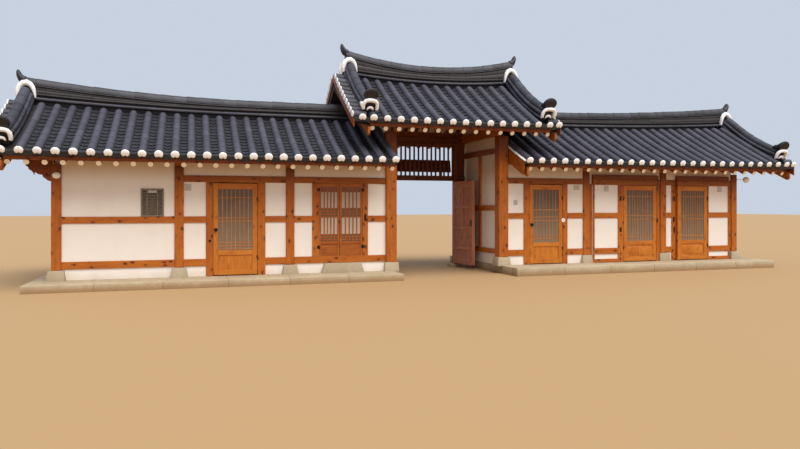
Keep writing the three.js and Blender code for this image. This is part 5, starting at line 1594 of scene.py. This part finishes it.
def mortar_rope(bm, path, widths, deep, turn):
    """A hand-laid rope of lime along a path; its width lies across the path, and deep along turn."""
    turns = [2 * math.pi * (j + 0.5) / 12 for j in range(12)]
    rings = []
    for k, point in enumerate(path):
        along = (path[min(k + 1, len(path) - 1)] - path[max(k - 1, 0)]).normalized()
        across = along.cross(turn).normalized()
        share = k / (len(path) - 1) * (len(widths) - 1)
        index = min(int(share), len(widths) - 2)
        wide = widths[index] + (widths[index + 1] - widths[index]) * (share - index)
        swell = random.uniform(0.94, 1.06)
        rings.append([
            point + across * (wide * swell * math.cos(t)) + turn * (deep * swell * math.sin(t)) for t in turns])
    sweep(bm, rings)


def verge_end_mortar(roof, bm, end, side):
    """The lime arch under the hood, with the crescent in its recess, and the arch over the top end."""
    x = verge_x(roof, end)
    front = Vector((0, 1 if side == "rear" else -1, 0))
    inner = 1 if end == 0 else -1
    lift = verge_lift(roof, x, 0.0)

    def at_hood(across, u, up):
        return lay_on_roof(roof, x + across, u + HOOD_BACK, up + lift, side)

    leg = [(-0.148, 0.140), (-0.160, 0.175), (-0.158, 0.245), (-0.146, 0.300), (-0.112, 0.342), (-0.060, 0.360)]
    arch = [*leg, (0.0, 0.364), *((-across, up) for across, up in reversed(leg))]
    widths = (0.030, 0.038, 0.040, 0.042, 0.046, 0.048, 0.046, 0.042, 0.040, 0.038, 0.030)
    mortar_rope(bm, [at_hood(across, 0.095, up) for across, up in arch], widths, 0.052, front)
    back = [at_hood(-inner * 0.186, u, 0.245) for u in (0.075, 0.110, 0.160, 0.215)]
    mortar_rope(bm, back, (0.050, 0.060, 0.055, 0.025), 0.034, Vector((1, 0, 0)))
    turns = [math.pi * k / 8 for k in range(9)]
    crescent = [at_hood(-0.066 * math.cos(t), 0.085, 0.138 + 0.062 * math.sin(t)) for t in turns]
    mortar_rope(bm, crescent, (0.012, 0.028, 0.032, 0.028, 0.012), 0.036, front)
    centre = bed(roof, x, RUN) + verge_height(RUN) - 0.085
    y = on_side(DEPTH / 2 - 0.165, side)
    collar = (
        (-0.170, -0.165), (-0.178, -0.080), (-0.165, 0.020), (-0.128, 0.105), (-0.066, 0.158), (0.010, 0.172),
        (0.080, 0.140), (0.132, 0.070), (0.162, -0.020), (0.180, -0.100), (0.192, -0.180),
    )
    points = [
        Vector((x + inner * 0.93 * a, y - front.y * 0.10 * max(-h, 0), centre + 0.95 * h)) for a, h in collar]
    widths = (0.034, 0.052, 0.058, 0.060, 0.064, 0.066, 0.060, 0.050, 0.040, 0.028, 0.012)
    mortar_rope(bm, points, widths, 0.060, front)


def verge_row(roof, bm, tile_bm, end):
    """Short rows of round tile across the verge, outside the lower ridge, with lime in their ends."""
    edge = roof["x0"] if end == 0 else roof["x1"]
    inward = 1 if end == 0 else -1
    length = 0.290

    def lay_down(verts, start, u, side):
        for vert in verts:
            x = edge + inward * (start + vert.co.x)
            vert.co = lay_on_roof(roof, x, u + vert.co.y, 0.022 + max(vert.co.z, -0.050), side)

    for side in SIDES:
        for u in [0.160 + 0.205 * k for k in range(10)]:
            tile = bmesh.ops.create_cone(
                tile_bm, cap_ends=True, segments=16, radius1=0.083, radius2=0.079, depth=length,
                matrix=Matrix.Rotation(math.radians(90), 4, "Y"))["verts"]
            tone = random.uniform(0.2, 0.9)
            lay_down(tile, length / 2, u, side)
            shade_all(tile_bm, tile, tone, tone)
            size = random.uniform(0.083, 0.089)
            plug = bmesh.ops.create_cone(
                bm, cap_ends=True, segments=18, radius1=size, radius2=size * 0.82, depth=0.034,
                matrix=Matrix.Rotation(math.radians(90 * inward), 4, "Y"))["verts"]
            lay_down(plug, -0.012, u, side)
            shade_all(bm, plug)


def inner_verge(roof, bm):
    """Beside the gate the roof's edge is closed by a strip of lime."""
    for side in SIDES:
        edge = [lay_on_roof(roof, roof["x0"] + 0.022, 0.020 + 0.090 * k, 0.006, side) for k in range(12)]
        mortar_rope(bm, edge, (0.030, 0.032, 0.030), 0.024, Vector((0, -0.4, 1)).normalized())


def verge_finish(roof):
    bm = start_piece()
    tile_bm = start_piece()
    if roof is RIGHT_ROOF:
        inner_verge(roof, bm)
    for end in (0, 1):
        if roof["verge"][end]:
            verge_row(roof, bm, tile_bm, end)
            for side in SIDES:
                verge_end_mortar(roof, bm, end, side)
    for made in (bm, tile_bm):
        bmesh.ops.recalc_face_normals(made, faces=made.faces)
    name = roof["name"]
    finish_piece(f"{name}_verge_tiles", tile_bm, [black_tile], crease=38)
    finish_piece(f"{name}_verge_mortar", bm, [white_mortar], crease=60)


for roof in ROOFS:
    verge_finish(roof)

# Stage
# A plain pale floor and soft light from an open sky, with the camera at the photograph's angle.

floor_finish, _ = new_finish("pale_floor", "AA8A60", 0.9)
floor_mesh = bpy.data.meshes.new("floor")
floor_bm = bmesh.new()
bmesh.ops.create_grid(floor_bm, x_segments=1, y_segments=1, size=120.0)
floor_bm.to_mesh(floor_mesh)
floor_bm.free()
floor_mesh.materials.append(floor_finish)
floor = bpy.data.objects.new("floor", floor_mesh)
bpy.context.scene.collection.objects.link(floor)

scene = bpy.context.scene
scene.view_settings.view_transform = "Standard"
world = bpy.data.worlds.new("soft_sky")
world.use_nodes = True
feed(world.node_tree.nodes["Background"], {"Color": "E4EFFF", "Strength": 0.74})
scene.world = world

sun_data = bpy.data.lights.new("soft_sun", "SUN")
sun_data.energy = 3.7
sun_data.angle = math.radians(50)
sun_data.color = (1.0, 0.95, 0.88)
sun = bpy.data.objects.new("soft_sun", sun_data)
sun.rotation_euler = (math.radians(30), 0, math.radians(12))
scene.collection.objects.link(sun)

camera_data = bpy.data.cameras.new("camera")
camera_data.sensor_width = 36.0
camera_data.lens = 29.57
camera_data.shift_y = -0.0219
camera_data.clip_end = 500.0
camera = bpy.data.objects.new("camera", camera_data)
camera.location = (-6.110, -16.360, 1.674)
camera.rotation_euler = (math.radians(90), 0, math.radians(-17.57))
scene.collection.objects.link(camera)
scene.camera = camera
